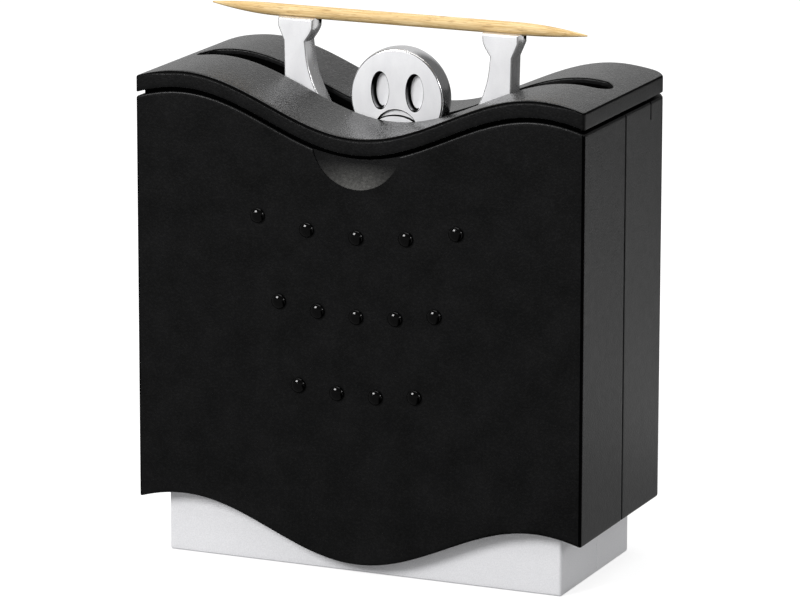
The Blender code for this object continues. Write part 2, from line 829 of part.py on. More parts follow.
def make_bottom_plate(finish):
    """Plate that closes the base from below, with a recess for each screw head."""
    length = 2 * (base_half_width - base_wall - seat_gap)
    width = 2 * (base_half_depth - base_wall - seat_gap)
    outline = rounded_rectangle(length, width, plate_corner_radius)
    plate = prism("base_bottom_plate", outline, "Z", plate_bottom, plate_top, finish)
    shank_radius, _, head_radius, head_height = plate_screw
    cuts = []
    for x, y in plate_screw_places():
        below = (x, y, plate_bottom - overrun)
        through = plate_thickness + 2 * overrun
        recess = overrun + head_height + 2 * seat_gap - (plate_bottom - plate_head_bottom)
        cuts.append(rod(f"plate_hole_{len(cuts)}", shank_radius + screw_gap, below, (0, 0, 1), through))
        cuts.append(rod(f"plate_recess_{len(cuts)}", head_radius + screw_gap, below, (0, 0, 1), recess))
    combine(plate, cuts)
    return plate


def plate_screw_places():
    return [(x * plate_screw_x, y * plate_screw_y) for x in (-1, 1) for y in (-1, 1)]


def make_plate_screws(finish):
    screws = []
    for number, (x, y) in enumerate(plate_screw_places(), 1):
        seat = (x, y, plate_head_bottom + plate_screw[3])
        screws.append(make_screw(f"base_screw_{number}", plate_screw, seat, (0, 0, -1), finish))
    return screws


def make_pad(finish):
    """Soft pad under the plate, the face that the dispenser stands on."""
    outline = rounded_rectangle(pad_length, pad_width, pad_corner_radius)
    return prism("anti_slip_pad", outline, "Z", 0.0, pad_thickness, finish)


def make_ballast(finish):
    """Steel block that weighs the base down and clamps the figure's tang in its slot."""
    outline = rounded_rectangle(ballast_length, ballast_width, ballast_corner_radius)
    top = ballast_bottom + ballast_height
    ballast = prism("ballast_weight", outline, "Z", ballast_bottom, top, finish)
    reach_x = tang_half_width + figure_gap
    reach_y = figure_half + figure_gap
    low = (-reach_x, -reach_y, tang_bottom - figure_gap)
    cuts = [block("tang_slot", low, (reach_x, reach_y, top + overrun))]
    shank_radius, shank_length, head_radius, _ = figure_screw
    for mirror in (-1, 1):
        start = (mirror * figure_screw_x, -ballast_width / 2 - overrun, figure_screw_height)
        reach = figure_screw_seat + shank_length + pilot_spare_length - start[1]
        sink = figure_screw_seat + seat_gap - start[1]
        cuts.append(rod(f"ballast_hole_{mirror}", shank_radius + screw_gap, start, (0, 1, 0), reach))
        cuts.append(rod(f"ballast_recess_{mirror}", head_radius + screw_gap, start, (0, 1, 0), sink))
    combine(ballast, cuts)
    return ballast


def make_figure_screws(finish):
    screws = []
    for side, mirror in (("left", -1), ("right", 1)):
        seat = (mirror * figure_screw_x, figure_screw_seat, figure_screw_height)
        screws.append(make_screw(f"figure_screw_{side}", figure_screw, seat, (0, -1, 0), finish))
    return screws


def blend(start, end, share_x, share_z):
    return (start[0] + (end[0] - start[0]) * share_x, start[1] + (end[1] - start[1]) * share_z)


def figure_outline():
    """The figure from the top of the head down round an arm to the tang, then mirrored."""
    wrist_in = (wrist_inner, wrist_height)
    neck_corner = (neck_half_width, neck_height)
    hand_bottom = hand_top - hand_height
    chin = math.asin(neck_half_width / head_radius)
    points = []
    for i in range(round_steps + 1):
        angle = (math.pi - chin) * i / round_steps
        points.append((head_radius * math.sin(angle), head_height + head_radius * math.cos(angle)))
    points.append(neck_corner)
    points += [blend(wrist_in, neck_corner, *share) for share in reversed(forearm_shares)]
    points.append(wrist_in)
    points += [(hand_inner, hand_bottom), (hand_inner, hand_top)]
    points += [(hand_outer, hand_top), (hand_outer, hand_bottom)]
    points.append((wrist_outer, wrist_height))
    armpit = (shoulder_outer, armpit_height)
    waist = (waist_half_width, waist_height)
    points.append(armpit)
    points += [blend(armpit, waist, *share) for share in flank_shares]
    points += [waist, (tang_half_width, base_top + seat_gap), (tang_half_width, tang_bottom)]
    return points + [(-x, z) for x, z in reversed(points[1:])]


def inset_outline(outline, inset):
    """The outline drawn inwards: each corner moves along its mitre."""
    count = len(outline)
    area = sum(a[0] * b[1] - b[0] * a[1] for a, b in zip(outline, outline[1:] + outline[:1]))
    turn = math.copysign(1.0, area)
    moved = []
    for i in range(count):
        here = Vector(outline[i])
        before = (here - Vector(outline[i - 1])).normalized()
        after = (Vector(outline[(i + 1) % count]) - here).normalized()
        normal_before = turn * Vector((-before.y, before.x))
        normal_after = turn * Vector((-after.y, after.x))
        mitre = (normal_before + normal_after) / (1 + normal_before.dot(normal_after))
        moved.append(tuple(here + inset * mitre))
    return moved


def make_figure(finish):
    """Flat metal figure with rounded edges, pocketed eyes and mouth, and a groove in each hand."""
    outline = figure_outline()
    sections = []
    for y_side in (-1, 1):
        for i in (0, 1, 2) if y_side < 0 else (2, 1, 0):
            angle = math.pi / 2 * i / 2
            inset = figure_edge * (1 - math.sin(angle))
            y = y_side * (figure_half - figure_edge * (1 - math.cos(angle)))
            sections.append([(x, y, z) for x, z in inset_outline(outline, inset)])
    figure = loft("figure", sections, finish)
    cuts = [face_pocket(name, shape) for name, shape in face_shapes()]
    reach = hand_outer + overrun
    radius = pick_radius + pick_groove_gap
    cuts.append(rod("hand_groove", radius, (-reach, 0, pick_height), (1, 0, 0), 2 * reach))
    for mirror in (-1, 1):
        start = (mirror * figure_screw_x, -figure_half - overrun, figure_screw_height)
        length = figure_thickness + 2 * overrun
        cuts.append(rod(f"tang_hole_{mirror}", figure_screw[0] + screw_gap, start, (0, 1, 0), length))
    combine(figure, cuts)
    return figure


def face_shapes():
    """Outlines of the two upright oval eyes and the downturned half-moon mouth."""
    shapes = []
    for name, mirror in (("eye_left", -1), ("eye_right", 1)):
        outline = []
        for i in range(round_steps):
            angle = 2 * math.pi * i / round_steps
            x = mirror * eye_spread + eye_half_width * math.cos(angle)
            outline.append((x, head_height + eye_above_head + eye_half_height * math.sin(angle)))
        shapes.append((name, outline))
    radius = (mouth_half_width ** 2 + mouth_rise ** 2) / (2 * mouth_rise)
    spread = math.asin(mouth_half_width / radius)
    corner = head_height - mouth_below_head
    mouth = []
    for i in range(small_round_steps + 1):
        angle = spread * (1 - 2 * i / small_round_steps)
        rise = radius * (math.cos(angle) - math.cos(spread))
        mouth.append((radius * math.sin(angle), corner + rise))
    shapes.append(("mouth", mouth))
    return shapes


def face_pocket(name, outline):
    return prism(f"{name}_tool", outline, "Y", -figure_half - overrun, pocket_depth - figure_half)


def clear_scene():
    for item in list(bpy.data.objects):
        bpy.data.objects.remove(item, do_unlink=True)


def main():
    clear_scene()
    black = material("satin_black_plastic", (0.016, 0.016, 0.017), 0.42)
    gloss_black = material("gloss_black_plastic", (0.006, 0.006, 0.007), 0.12)
    inner_black = material("inner_black_plastic", (0.03, 0.03, 0.032), 0.5)
    silver_paint = material("silver_lacquer", (0.72, 0.72, 0.74), 0.34, 0.6)
    zinc = material("satin_zinc", (0.78, 0.78, 0.79), 0.3, 1.0)
    steel = material("zinc_plated_steel", (0.6, 0.6, 0.61), 0.32, 1.0)
    wood = material("birch", (0.72, 0.52, 0.3), 0.7)
    foam = material("pad_foam", (0.035, 0.035, 0.035), 0.95)

    base = body("base_body")
    casing = body("casing_body")
    lid = body("lid_body")
    raised = body("toothpick_body")
    casing.parent = base
    lid.parent = casing
    raised.parent = base

    carry(casing, [make_front_shell(black), make_rear_shell(black), make_hopper(inner_black)])
    carry(casing, make_studs(gloss_black))
    carry(casing, make_casing_screws(steel))
    carry(casing, make_spare_picks(wood))
    carry(lid, [make_lid(black)])
    carry(base, [
        base_blank("base_front_shell", -1, base_front_radius, silver_paint),
        base_blank("base_rear_shell", 1, base_rear_radius, silver_paint),
        make_bottom_plate(inner_black),
        make_pad(foam),
        make_ballast(steel),
        make_figure(zinc),
    ])
    carry(base, make_plate_screws(steel))
    carry(base, make_figure_screws(steel))
    carry(raised, [make_pick("raised_toothpick", (-pick_shift, 0, pick_height), wood)])


main()
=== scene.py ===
"""Toothpick dispenser, dressed: a black casing with wavy edges and its lid over a silver base,
and a satin metal figure that holds up one toothpick.

Metres, +Z up, the front looks along -Y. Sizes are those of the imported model, apart from
edges, the slot and the face's pockets, which are up to a millimetre nearer the photograph.
"""
import math

import bmesh
import bpy
import numpy as np
from mathutils import Matrix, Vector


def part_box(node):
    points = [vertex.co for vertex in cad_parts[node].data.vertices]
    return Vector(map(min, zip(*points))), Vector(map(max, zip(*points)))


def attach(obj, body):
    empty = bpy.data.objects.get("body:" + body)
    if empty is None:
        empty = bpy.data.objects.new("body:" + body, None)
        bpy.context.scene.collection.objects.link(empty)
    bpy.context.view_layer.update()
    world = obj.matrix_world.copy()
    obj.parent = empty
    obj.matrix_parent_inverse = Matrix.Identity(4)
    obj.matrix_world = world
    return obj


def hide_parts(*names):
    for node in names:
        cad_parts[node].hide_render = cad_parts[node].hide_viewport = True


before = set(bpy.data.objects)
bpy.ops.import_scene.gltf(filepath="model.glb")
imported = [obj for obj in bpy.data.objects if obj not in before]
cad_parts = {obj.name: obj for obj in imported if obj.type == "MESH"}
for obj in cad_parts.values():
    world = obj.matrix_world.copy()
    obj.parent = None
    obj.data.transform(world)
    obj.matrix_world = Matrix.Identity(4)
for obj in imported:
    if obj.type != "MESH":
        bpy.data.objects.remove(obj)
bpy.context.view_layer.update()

MM = 0.001

# Camera, worked out from the corners of the casing
CAMERA_PLACE = (333.2 * MM, -767.05 * MM, 239.82 * MM)
CAMERA_AZIMUTH = math.radians(23.49)
CAMERA_ELEVATION = math.radians(13.33)
CAMERA_ROLL = math.radians(0.10)
CAMERA_LENS = 239.93
CAMERA_SENSOR = 36.0
FLOOR_RADIUS = 4.0

# Casing
HALF_WIDTH = 38.5 * MM
HALF_DEPTH = 17.8 * MM
WALL = 2.0 * MM
EDGE_BOTTOM = 6.2 * MM
EDGE_TOP = 72.1028 * MM
EDGE_SHOWN = EDGE_TOP + 0.25 * MM  # as the edge is seen, under the lid
EDGE_SOFT = 0.3 * MM
FRONT_CORNER = 0.5 * MM
REAR_CORNER = 2.0 * MM
WAVE_PERIOD = 61.0 * MM
WAVE_HEIGHT = 4.25 * MM
LIP_INSET = 1.1 * MM
LIP_HEIGHT = 1.75 * MM
SEAM_HALF = 0.12 * MM
SEAM_SOFT = 0.22 * MM
BOSS_X = 29.0 * MM
BOSS_Z = 49.2994 * MM
BOSS_RADIUS = 3.0 * MM
LEDGE_X = (34.6 * MM, 37.0 * MM)
LEDGE_Y = 11.0 * MM
LEDGE_Z = (11.2 * MM, 12.6 * MM)
SCREW_HOLE, HEAD_HOLE, STEM_HOLE = 1.5 * MM, 2.7 * MM, 0.75 * MM
SCREW_SEAT = 15.6 * MM
COLLAR_RADIUS, COLLAR_Y = 4.0 * MM, (12.5 * MM, 16.3 * MM)
SCOOP_RADIUS = 7.75 * MM
SCOOP_DROP = 4.6 * MM
NIB_Y = 10.9 * MM

# Studs: each row's height, spacing and number; the rows rise at their ends
STUD_ROWS = ((55.6028 * MM, 8.55 * MM, 5), (42.7528 * MM, 6.72 * MM, 5),
             (29.9028 * MM, 6.7 * MM, 4))
STUD_RISE = 2.9 * MM
STUD_REACH = 20.0 * MM
STUD_RADIUS = 1.25 * MM
STUD_HEIGHT = 0.72 * MM

# Lid
LID_BOTTOM = EDGE_TOP + 0.9 * MM
LID_TOP = LID_BOTTOM + 2.7 * MM
LID_CEILING = LID_TOP - 1.6 * MM
SLOT_HALF_LENGTH = 35.9 * MM
SLOT_HALF_WIDTH = 2.65 * MM
SLOT_SHIFT = 0.25 * MM
SLOT_SOFT = 0.3 * MM
# Painted shade: the slot's wall below SLOT_SHADE takes the black finish
SLOT_SHADE = LID_TOP - 0.8 * MM  # the slot's wall is black below this
RIM_WALL = 0.9 * MM
COLLAR_WALL = 1.0 * MM
COLLAR_BOTTOM = LID_CEILING - 0.8 * MM

# Base
BASE_X = 34.3 * MM
BASE_Y = 15.2 * MM
BASE_WALL = 1.8 * MM
BASE_TOP = 45.0 * MM
BASE_BOTTOM = 0.05 * MM
BASE_SOFT = 0.3 * MM
PLATE_BOTTOM = 0.7 * MM
PLATE_TOP = 2.9 * MM
PLATE_SCREW = (29.0 * MM, 10.2 * MM)
PLATE_HOLE = 1.3 * MM
POST_X, POST_Y, POST_Z = (26.0 * MM, 33.0 * MM), (7.4 * MM, 13.9 * MM), (3.2 * MM, 43.7 * MM)
SHOULDER_X, SHOULDER_Y = (33.8 * MM, 36.2 * MM), (0.15 * MM, 10.0 * MM)
SHOULDER_Z = (40.7 * MM, 44.7 * MM)
ARM_X = (35.0 * MM, 36.1 * MM)
# Stop arm from its end, in millimetres: (Y, Z)
ARM_OUTLINE = ((0.15, 44.2), (5.0, 44.2), (5.0, 45.37), (15.0, 45.37), (15.0, 46.97), (0.15, 46.97))

# Screws: radius of the shank, its length, radius of the head and its height
CASING_SCREW = (1.2 * MM, 25.0 * MM, 2.4 * MM, 1.6 * MM)
BASE_SCREW = (1.0 * MM, 10.0 * MM, 2.1 * MM, 0.85 * MM)

# Figure and toothpicks
FIGURE_HALF = 1.925 * MM
FIGURE_SOFT = 0.35 * MM
RIM_CROWN = 0.15 * MM
HEAD_Z = 75.1028 * MM
HEAD_RADIUS = 8.15 * MM
EYES_X = (-2.87 * MM, 3.12 * MM)
EYE_HALF = (1.47 * MM, 3.0 * MM)
EYES_RISE = 1.1 * MM
MOUTH_HALF, MOUTH_RISE, MOUTH_DROP = 3.2 * MM, 1.75 * MM, 3.65 * MM
MOUTH_SHARE = 0.52
TANG_HOLE = (7.0 * MM, 10.2 * MM)
PICK_Z = 87.6028 * MM
PICK_SHIFT = -0.7 * MM
PICK_LENGTH = 65.0 * MM
PICK_RADIUS = 1.02 * MM
PICK_TIP = 0.12 * MM
PICK_TAPER = 11.5 * MM

# Walls of the pockets in the face: (mm grown outwards, mm out of the face) from the front in
EYE_STEPS = ((0.12, 0.5), (0.12, 0.0), (0.03, -0.08), (0.0, -0.2), (-0.34, -1.1), (-0.36, -1.12))
MOUTH_STEPS = ((0.16, 0.5), (0.16, 0.0), (0.06, -0.06), (0.0, -0.16), (-0.02, -0.38), (-0.03, -0.4))


# Shader maths


class Value:
    """A number from a shader node; arithmetic on it adds Math nodes to the same tree."""

    def __init__(self, tree, socket):
        self.tree = tree
        self.socket = socket

    def maths(self, operation, first, second=None):
        """The result of a Math node; each operand is a Value or a number."""
        node = self.tree.nodes.new("ShaderNodeMath")
        node.operation = operation
        for place, item in enumerate((first, second)):
            if isinstance(item, Value):
                self.tree.links.new(item.socket, node.inputs[place])
            elif item is not None:
                node.inputs[place].default_value = item
        return Value(self.tree, node.outputs[0])

    def __add__(self, other):
        return self.maths("ADD", self, other)

    def __sub__(self, other):
        return self.maths("SUBTRACT", self, other)

    def __rsub__(self, other):
        return self.maths("SUBTRACT", other, self)

    def __mul__(self, other):
        return self.maths("MULTIPLY", self, other)

    def __abs__(self):
        return self.maths("ABSOLUTE", self)

    __radd__ = __add__
    __rmul__ = __mul__

    def between(self, low, high):
        """0 below low, 1 above high and a straight ramp from one to the other."""
        node = self.tree.nodes.new("ShaderNodeMapRange")
        node.inputs["From Min"].default_value = low
        node.inputs["From Max"].default_value = high
        self.tree.links.new(self.socket, node.inputs["Value"])
        return Value(self.tree, node.outputs[0])


class Finish:
    """A material, or the world, in the making: its shader, and one method for any other node.
    Its place is the shaded point in metres from the part's origin, or the world's direction."""

    def __init__(self, name, library=bpy.data.materials, shader="Principled BSDF", **constants):
        self.owner = library.new(name)
        self.owner.use_nodes = True
        self.tree = self.owner.node_tree
        self.shader = self.tree.nodes[shader]
        for key, value in constants.items():
            self.shader.inputs[key.replace("_", " ")].default_value = value
        self.place = self.node("ShaderNodeTexCoord").outputs["Object"]

    def node(self, kind, settings=None, **inputs):
        """Adds a node: settings are set first, then the values or links of its inputs."""
        node = self.tree.nodes.new(kind)
        for key, value in (settings or {}).items():
            setattr(node, key, value)
        for key, value in inputs.items():
            self.feed(node.inputs[key.replace("_", " ")], value)
        return node

    def feed(self, socket, value):
        """Links a value to an input, or sets it."""
        if isinstance(value, Value):
            value = value.socket
        if isinstance(value, bpy.types.NodeSocket):
            self.tree.links.new(value, socket)
        else:
            socket.default_value = value

    def axes(self):
        """X, Y and Z of the place."""
        apart = self.node("ShaderNodeSeparateXYZ", Vector=self.place)
        return [Value(self.tree, apart.outputs[word]) for word in "XYZ"]

    def rays(self, word):
        """1 for a kind of ray, such as Camera or Glossy, and 0 for the others."""
        path = self.node("ShaderNodeLightPath")
        return Value(self.tree, path.outputs[f"Is {word} Ray"])

    def noise(self, size, detail=3.0, stretch=(1.0, 1.0, 1.0), roughness=0.5):
        """Noise about 0.5 whose features are about size metres across."""
        place = self.place
        if stretch != (1.0, 1.0, 1.0):
            place = self.node("ShaderNodeMapping", Vector=place, Scale=stretch).outputs[0]
        node = self.node("ShaderNodeTexNoise", Vector=place, Scale=1.0 / size, Detail=detail,
                         Roughness=roughness)
        return Value(self.tree, node.outputs["Fac"])

    def mixed(self, factor, dark, light):
        """A colour between two, by a factor; a number stands for a grey."""
        node = self.node("ShaderNodeMix", {"data_type": "RGBA"})
        self.feed(node.inputs[0], factor)
        for place, value in ((6, dark), (7, light)):
            value = (value,) * 3 if isinstance(value, float) else value
            self.feed(node.inputs[place], (*value, 1.0) if isinstance(value, tuple) else value)
        return node.outputs[2]

    def give(self, word, value):
        """Links a value to an input of the shader, or sets it."""
        self.feed(self.shader.inputs[word], value)

    def looks(self, colour, roughness, height=None, depth=0.0):
        """Gives the shader its colour, roughness and bump, and returns the material."""
        self.give("Base Color", colour)
        self.give("Roughness", roughness)
        if height is not None:
            bump = self.node("ShaderNodeBump", Height=height, Distance=depth, Strength=1.0)
            self.give("Normal", bump.outputs[0])
        return self.owner


def grained_plastic(name, dark, pale, speckle, stretch, gloss, ior, depth):
    """Black satin plastic: spark-eroded grain, faint cloudy patches and paler specks. Speckle
    is how far the specks show, gloss the least roughness and depth the grain's height."""
    made = Finish(name, IOR=ior)
    grain = made.noise(0.31 * MM, 2.0, stretch)
    cloud = made.noise(6.0 * MM, 4.0)
    scuff = made.noise(1.6 * MM, 3.0)
    speck = grain.between(0.47, 0.68) * (0.35 + 0.65 * cloud)
    ground = made.mixed(cloud.between(0.3, 0.75), dark, pale)
    colour = made.mixed(speck * speckle, ground, 0.10)
    made.looks(colour, gloss + 0.12 * grain + 0.08 * scuff, grain + 0.4 * scuff, depth)
    return made


def casing_plastic(name, ior):
    """The casing's plastic, with paler colour painted towards the bottom of the scoop as light
    caught by its floor, broken by grain.
    """
    made = grained_plastic(name, (0.0010, 0.0011, 0.0012), (0.0044, 0.0044, 0.0047), 0.03,
                           (1.0, 1.0, 1.0), 0.28, ior, 0.035 * MM)
    x, y, z = made.axes()
    across = abs(x)
    sunk = y.between(-HALF_DEPTH + 0.06 * MM, -HALF_DEPTH + 0.2 * MM)
    sunk = sunk * (1.0 - y.between(-16.3 * MM, -16.2 * MM))
    inside = sunk * (1.0 - across.between(SCOOP_RADIUS + 0.05 * MM, SCOOP_RADIUS + 0.25 * MM))
    lower = 1.0 - z.between(63.3 * MM, 67.6 * MM)
    # Painted light: paler colour on the scoop's lower floor, as if lit from above
    lit_scoop_floor = inside * lower * (1.0 - across.between(2.0 * MM, 7.8 * MM) * 0.75)
    height = z.between(62.9 * MM, 63.1 * MM) * (1.0 - z.between(67.7 * MM, 67.8 * MM))
    grain = made.noise(0.45 * MM, 3.0)
    base = made.shader.inputs["Base Color"].links[0].from_socket
    # Painted light, broken by grain, over the lower part of the scoop's floor
    scoop_light = lit_scoop_floor * (0.1 + 1.8 * grain) * height
    made.give("Base Color", made.mixed(scoop_light, base, (0.075, 0.074, 0.070)))
    return made.owner


def lid_plastic():
    """The lid's plastic: its grain shows more, as light grazes the top."""
    dark, pale = (0.0020, 0.0020, 0.0021), (0.0070, 0.0070, 0.0067)
    made = grained_plastic("lid_plastic", dark, pale, 0.6, (1.0, 0.7, 1.0), 0.16, 1.4, 0.07 * MM)
    return made.owner


def painted_shade_black():
    """A smoother and deeper black than the grained plastic, painted as shade and dark reflection on
    the lid's rounded edges, down its slot and on the casing's lip and front corners.
    """
    # Painted shade: this black marks shaded lip, slot and edges, not a different plastic
    made = Finish("painted_shade_black", IOR=1.08)
    cloud = made.noise(2.5 * MM, 3.0)
    black = made.mixed(cloud, (0.0004, 0.0004, 0.0005), 0.0016)
    return made.looks(black, 0.25 + 0.15 * cloud)


def stud_plastic():
    """Polished black: nearly all that shows is the lamps' reflection."""
    made = Finish("gloss_black", IOR=1.38)
    speck = made.noise(0.8 * MM, 2.0)
    return made.looks(made.mixed(speck, 0.0002, 0.0006), 0.04 + 0.04 * speck)


def inner_plastic():
    """Plain black plastic of the parts inside, a little dull."""
    made = Finish("inner_plastic", IOR=1.4)
    cloud = made.noise(3.0 * MM, 3.0)
    grain = made.noise(0.4 * MM, 2.0)
    black = made.mixed(cloud, (0.016, 0.016, 0.017), (0.026, 0.026, 0.027))
    return made.looks(black, 0.42 + 0.15 * grain, grain, 0.01 * MM)


def silver_lacquer():
    """Silver lacquer: fine bright flakes under a soft, slightly uneven coat."""
    made = Finish("silver_lacquer", Metallic=0.08, IOR=1.45)
    flake = made.noise(0.12 * MM, 1.0)
    cloud = made.noise(9.0 * MM, 3.0)
    silver = made.mixed(flake.between(0.35, 0.7), (0.80, 0.80, 0.82), (0.91, 0.91, 0.93))
    silver = made.mixed(cloud.between(0.3, 0.8) * 0.12, silver, (0.60, 0.60, 0.63))
    return made.looks(silver, 0.36 + 0.10 * flake + 0.05 * cloud, flake, 0.003 * MM)


def satin_zinc():
    """Die-cast zinc: bright with soft reflections, brushed duller along the arms."""
    made = Finish("satin_zinc")
    arms = abs(made.axes()[0]).between(9.0 * MM, 12.0 * MM)
    made.give("Metallic", 1.0 - 0.28 * arms)
    cloud = made.noise(5.0 * MM, 3.0)
    grain = made.noise(0.25 * MM, 2.0)
    zinc = made.mixed(cloud.between(0.3, 0.75), (0.80, 0.80, 0.81), (0.87, 0.87, 0.88))
    rough = 0.15 + 0.05 * grain + 0.05 * cloud + 0.04 * arms
    return made.looks(zinc, rough, grain + 0.5 * cloud, 0.004 * MM)


def blasted_zinc():
    """The figure's flat faces and pocket floors: fine-blasted, nearly matt and pale."""
    made = Finish("blasted_zinc", Metallic=0.1, IOR=1.4)
    cloud = made.noise(3.5 * MM, 4.0, (1.0, 1.0, 0.4))
    grain = made.noise(0.22 * MM, 2.0)
    pale = made.mixed(cloud.between(0.3, 0.75), (0.80, 0.80, 0.82), (0.95, 0.95, 0.96))
    pale = made.mixed(grain.between(0.55, 0.8) * 0.3, pale, (0.72, 0.72, 0.74))
    return made.looks(pale, 0.38 + 0.12 * grain, grain + 0.5 * cloud, 0.006 * MM)


def pocket_painted_shade():
    """Pocket walls painted black as shade, with a paler strip painted at the lower edges of the
    eyes as reflected light.
    """
    made = Finish("pocket_painted_shade", IOR=1.03)
    grain = made.noise(0.3 * MM, 2.0)
    y, z = made.axes()[1:]
    # Painted reflection: a paler strip near the face at the bottom of the eyes; the rest is painted
    # shade
    painted_lit_rim = (1.0 - y.between(-1.78 * MM, -1.3 * MM)) * (1.0 - z.between(73.4 * MM, 77.2 * MM))
    painted_lit_rim = painted_lit_rim * y.between(-1.86 * MM, -1.78 * MM) * z.between(73.3 * MM, 73.5 * MM)
    black = made.mixed(grain, 0.001, 0.004)
    return made.looks(made.mixed(painted_lit_rim, black, (0.55, 0.55, 0.57)), 0.5 + 0.1 * grain)


def plated_steel():
    """Zinc-plated steel, a little cloudy, with turning marks too fine to see one by one."""
    made = Finish("plated_steel", Metallic=1.0)
    cloud = made.noise(1.5 * MM, 4.0)
    mark = made.noise(0.15 * MM, 2.0, (1.0, 6.0, 1.0))
    steel = made.mixed(cloud, (0.42, 0.42, 0.44), 0.62)
    return made.looks(steel, 0.28 + 0.15 * mark, mark, 0.004 * MM)


def birch():
    """Bare birch with its fibres along the toothpick, warmer bands and short dark pores."""
    made = Finish("birch", IOR=1.4)
    fibre = made.noise(0.28 * MM, 3.0, (0.035, 1.0, 1.0), 0.6)
    band = made.noise(1.3 * MM, 2.0, (0.05, 1.0, 1.0))
    pore = made.noise(0.16 * MM, 2.0, (0.08, 1.0, 1.0))
    pale = made.mixed(fibre.between(0.36, 0.64), (0.60, 0.39, 0.15), (0.88, 0.68, 0.37))
    warm = made.mixed(band.between(0.42, 0.72) * 0.45, pale, (0.70, 0.45, 0.18))
    wood = made.mixed(pore.between(0.58, 0.68) * 0.75, warm, (0.38, 0.22, 0.08))
    return made.looks(wood, 0.56 + 0.2 * fibre, fibre + 0.6 * pore, 0.03 * MM)


def foam():
    """Black foam rubber with small open cells."""
    made = Finish("pad_foam", IOR=1.4)
    cell = made.noise(0.35 * MM, 2.0)
    black = made.mixed(cell.between(0.3, 0.7), 0.010, 0.045)
    return made.looks(black, 0.85 + 0.1 * cell, cell, 0.08 * MM)


# Shapes


def wave(x):
    """Rise of the wavy edges above their mean line: a cosine, lowest in the middle."""
    return -WAVE_HEIGHT * np.cos(2 * np.pi * np.asarray(x) / WAVE_PERIOD)


def new_piece(name, points, faces, finishes, sharp=30.0):
    """A mesh object with merged doubles, faces outwards and edges sharp above an angle."""
    mesh = bpy.data.meshes.new(name)
    mesh.from_pydata(np.reshape(points, (-1, 3)).tolist(), [], faces)
    for finish in finishes if isinstance(finishes, list) else [finishes]:
        mesh.materials.append(finish)
    shape = bmesh.new()
    shape.from_mesh(mesh)
    bmesh.ops.remove_doubles(shape, verts=shape.verts, dist=0.00002 * MM)
    bmesh.ops.recalc_face_normals(shape, faces=shape.faces)
    shape.to_mesh(mesh)
    shape.free()
    piece = placed(name, mesh)
    shade(piece, sharp)
    return piece


def placed(name, data):
    """A new object in the scene."""
    item = bpy.data.objects.new(name, data)
    bpy.context.scene.collection.objects.link(item)
    return item


def face_vectors(mesh, word):
    """The normal or the center of each face."""
    flat = np.empty(len(mesh.polygons) * 3)
    mesh.polygons.foreach_get(word, flat)
    return flat.reshape(-1, 3)


def face_slots(mesh):
    """Each face's place in the mesh's list of materials."""
    slots = np.empty(len(mesh.polygons), dtype=np.int32)
    mesh.polygons.foreach_get("material_index", slots)
    return slots


def set_slots(mesh, slots):
    """Gives each face its place in the mesh's list of materials."""
    mesh.polygons.foreach_set("material_index", np.asarray(slots, dtype=np.int32))


def shade(piece, sharp=30.0):
    """Smooth shading, but for edges that turn by more than an angle in degrees."""
    piece.data.shade_smooth()
    piece.data.set_sharp_from_angle(angle=math.radians(sharp))


def quads(rows, columns, wrap_rows=False):
    """Faces of a grid whose columns close on themselves, and whose rows may as well."""
    index = np.arange(rows * columns).reshape(rows, columns)
    index = np.hstack([index, index[:, :1]])
    if wrap_rows:
        index = np.vstack([index, index[:1]])
    corners = [index[:-1, :-1], index[:-1, 1:], index[1:, 1:], index[1:, :-1]]
    return np.stack(corners, axis=-1).reshape(-1, 4).tolist()


def pairs(a, b):
    """Points of an outline from their two coordinates; one of them may be a single number."""
    return np.stack(np.broadcast_arrays(a, b), axis=-1)


def at_height(outline, z):
    """A flat outline of (x, y) at a height, or at one height for each point."""
    return np.insert(outline, 2, z, axis=1)


def at_depth(outline, y):
    """A flat outline of (x, z) at a place on Y."""
    return np.insert(outline, 1, y, axis=1)


def caps(rows, columns):
    """The first and the last section of a grid, each as one face."""
    return [list(range(columns)), list(range((rows - 1) * columns, rows * columns))]


def solid(name, grid, finishes, wrap_rows=False, sharp=30.0):
    """A closed solid from a grid (rows, columns, 3) of closed sections, capped at both ends."""
    grid = np.asarray(grid)
    rows, columns = grid.shape[:2]
    faces = quads(rows, columns, wrap_rows)
    if not wrap_rows:
        faces += caps(rows, columns)
    return new_piece(name, grid, faces, finishes, sharp)


def turned(name, profile, origin, axis, finishes, steps=48, sharp=35.0):
    """A profile of (radius, distance) pairs turned about an axis: point = origin + distance
    along the axis + radius times a unit spoke."""
    profile = np.asarray(profile, dtype=float)
    along = np.asarray(axis, dtype=float)
    side = np.cross(along, [0.0, 0.0, 1.0] if abs(along[2]) < 0.9 else [1.0, 0.0, 0.0])
    across = np.cross(along, side)
    angle = np.linspace(0, 2 * np.pi, steps, endpoint=False)
    spoke = np.cos(angle)[:, None] * side + np.sin(angle)[:, None] * across
    grid = (np.asarray(origin) + profile[:, 1, None, None] * along
            + profile[:, 0, None, None] * spoke[None])
    faces = quads(len(profile), steps)
    ends = zip(caps(len(profile), steps), profile[[0, -1], 0])
    faces += [cap for cap, radius in ends if radius > 0]
    return new_piece(name, grid, faces, finishes, sharp)


def prism(name, outline, axis, low, high, finishes, sharp=30.0):
    """A flat outline (n, 2) carried along X, Y or Z from low to high."""
    outline = np.asarray(outline, dtype=float)
    sections = [np.insert(outline, "XYZ".index(axis), along, axis=1) for along in (low, high)]
    return solid(name, sections, finishes, sharp=sharp)


def block(x, y, z, finish):
    """A box between two places on each axis, given in either order."""
    (x0, x1), (y0, y1) = sorted(x), sorted(y)
    return prism("block", [(x0, y0), (x1, y0), (x1, y1), (x0, y1)], "Z", *z, finish)


def arc(centre, radius, angle):
    """Points at angles round a centre."""
    return pairs(centre[0] + radius * np.cos(angle), centre[1] + radius * np.sin(angle))


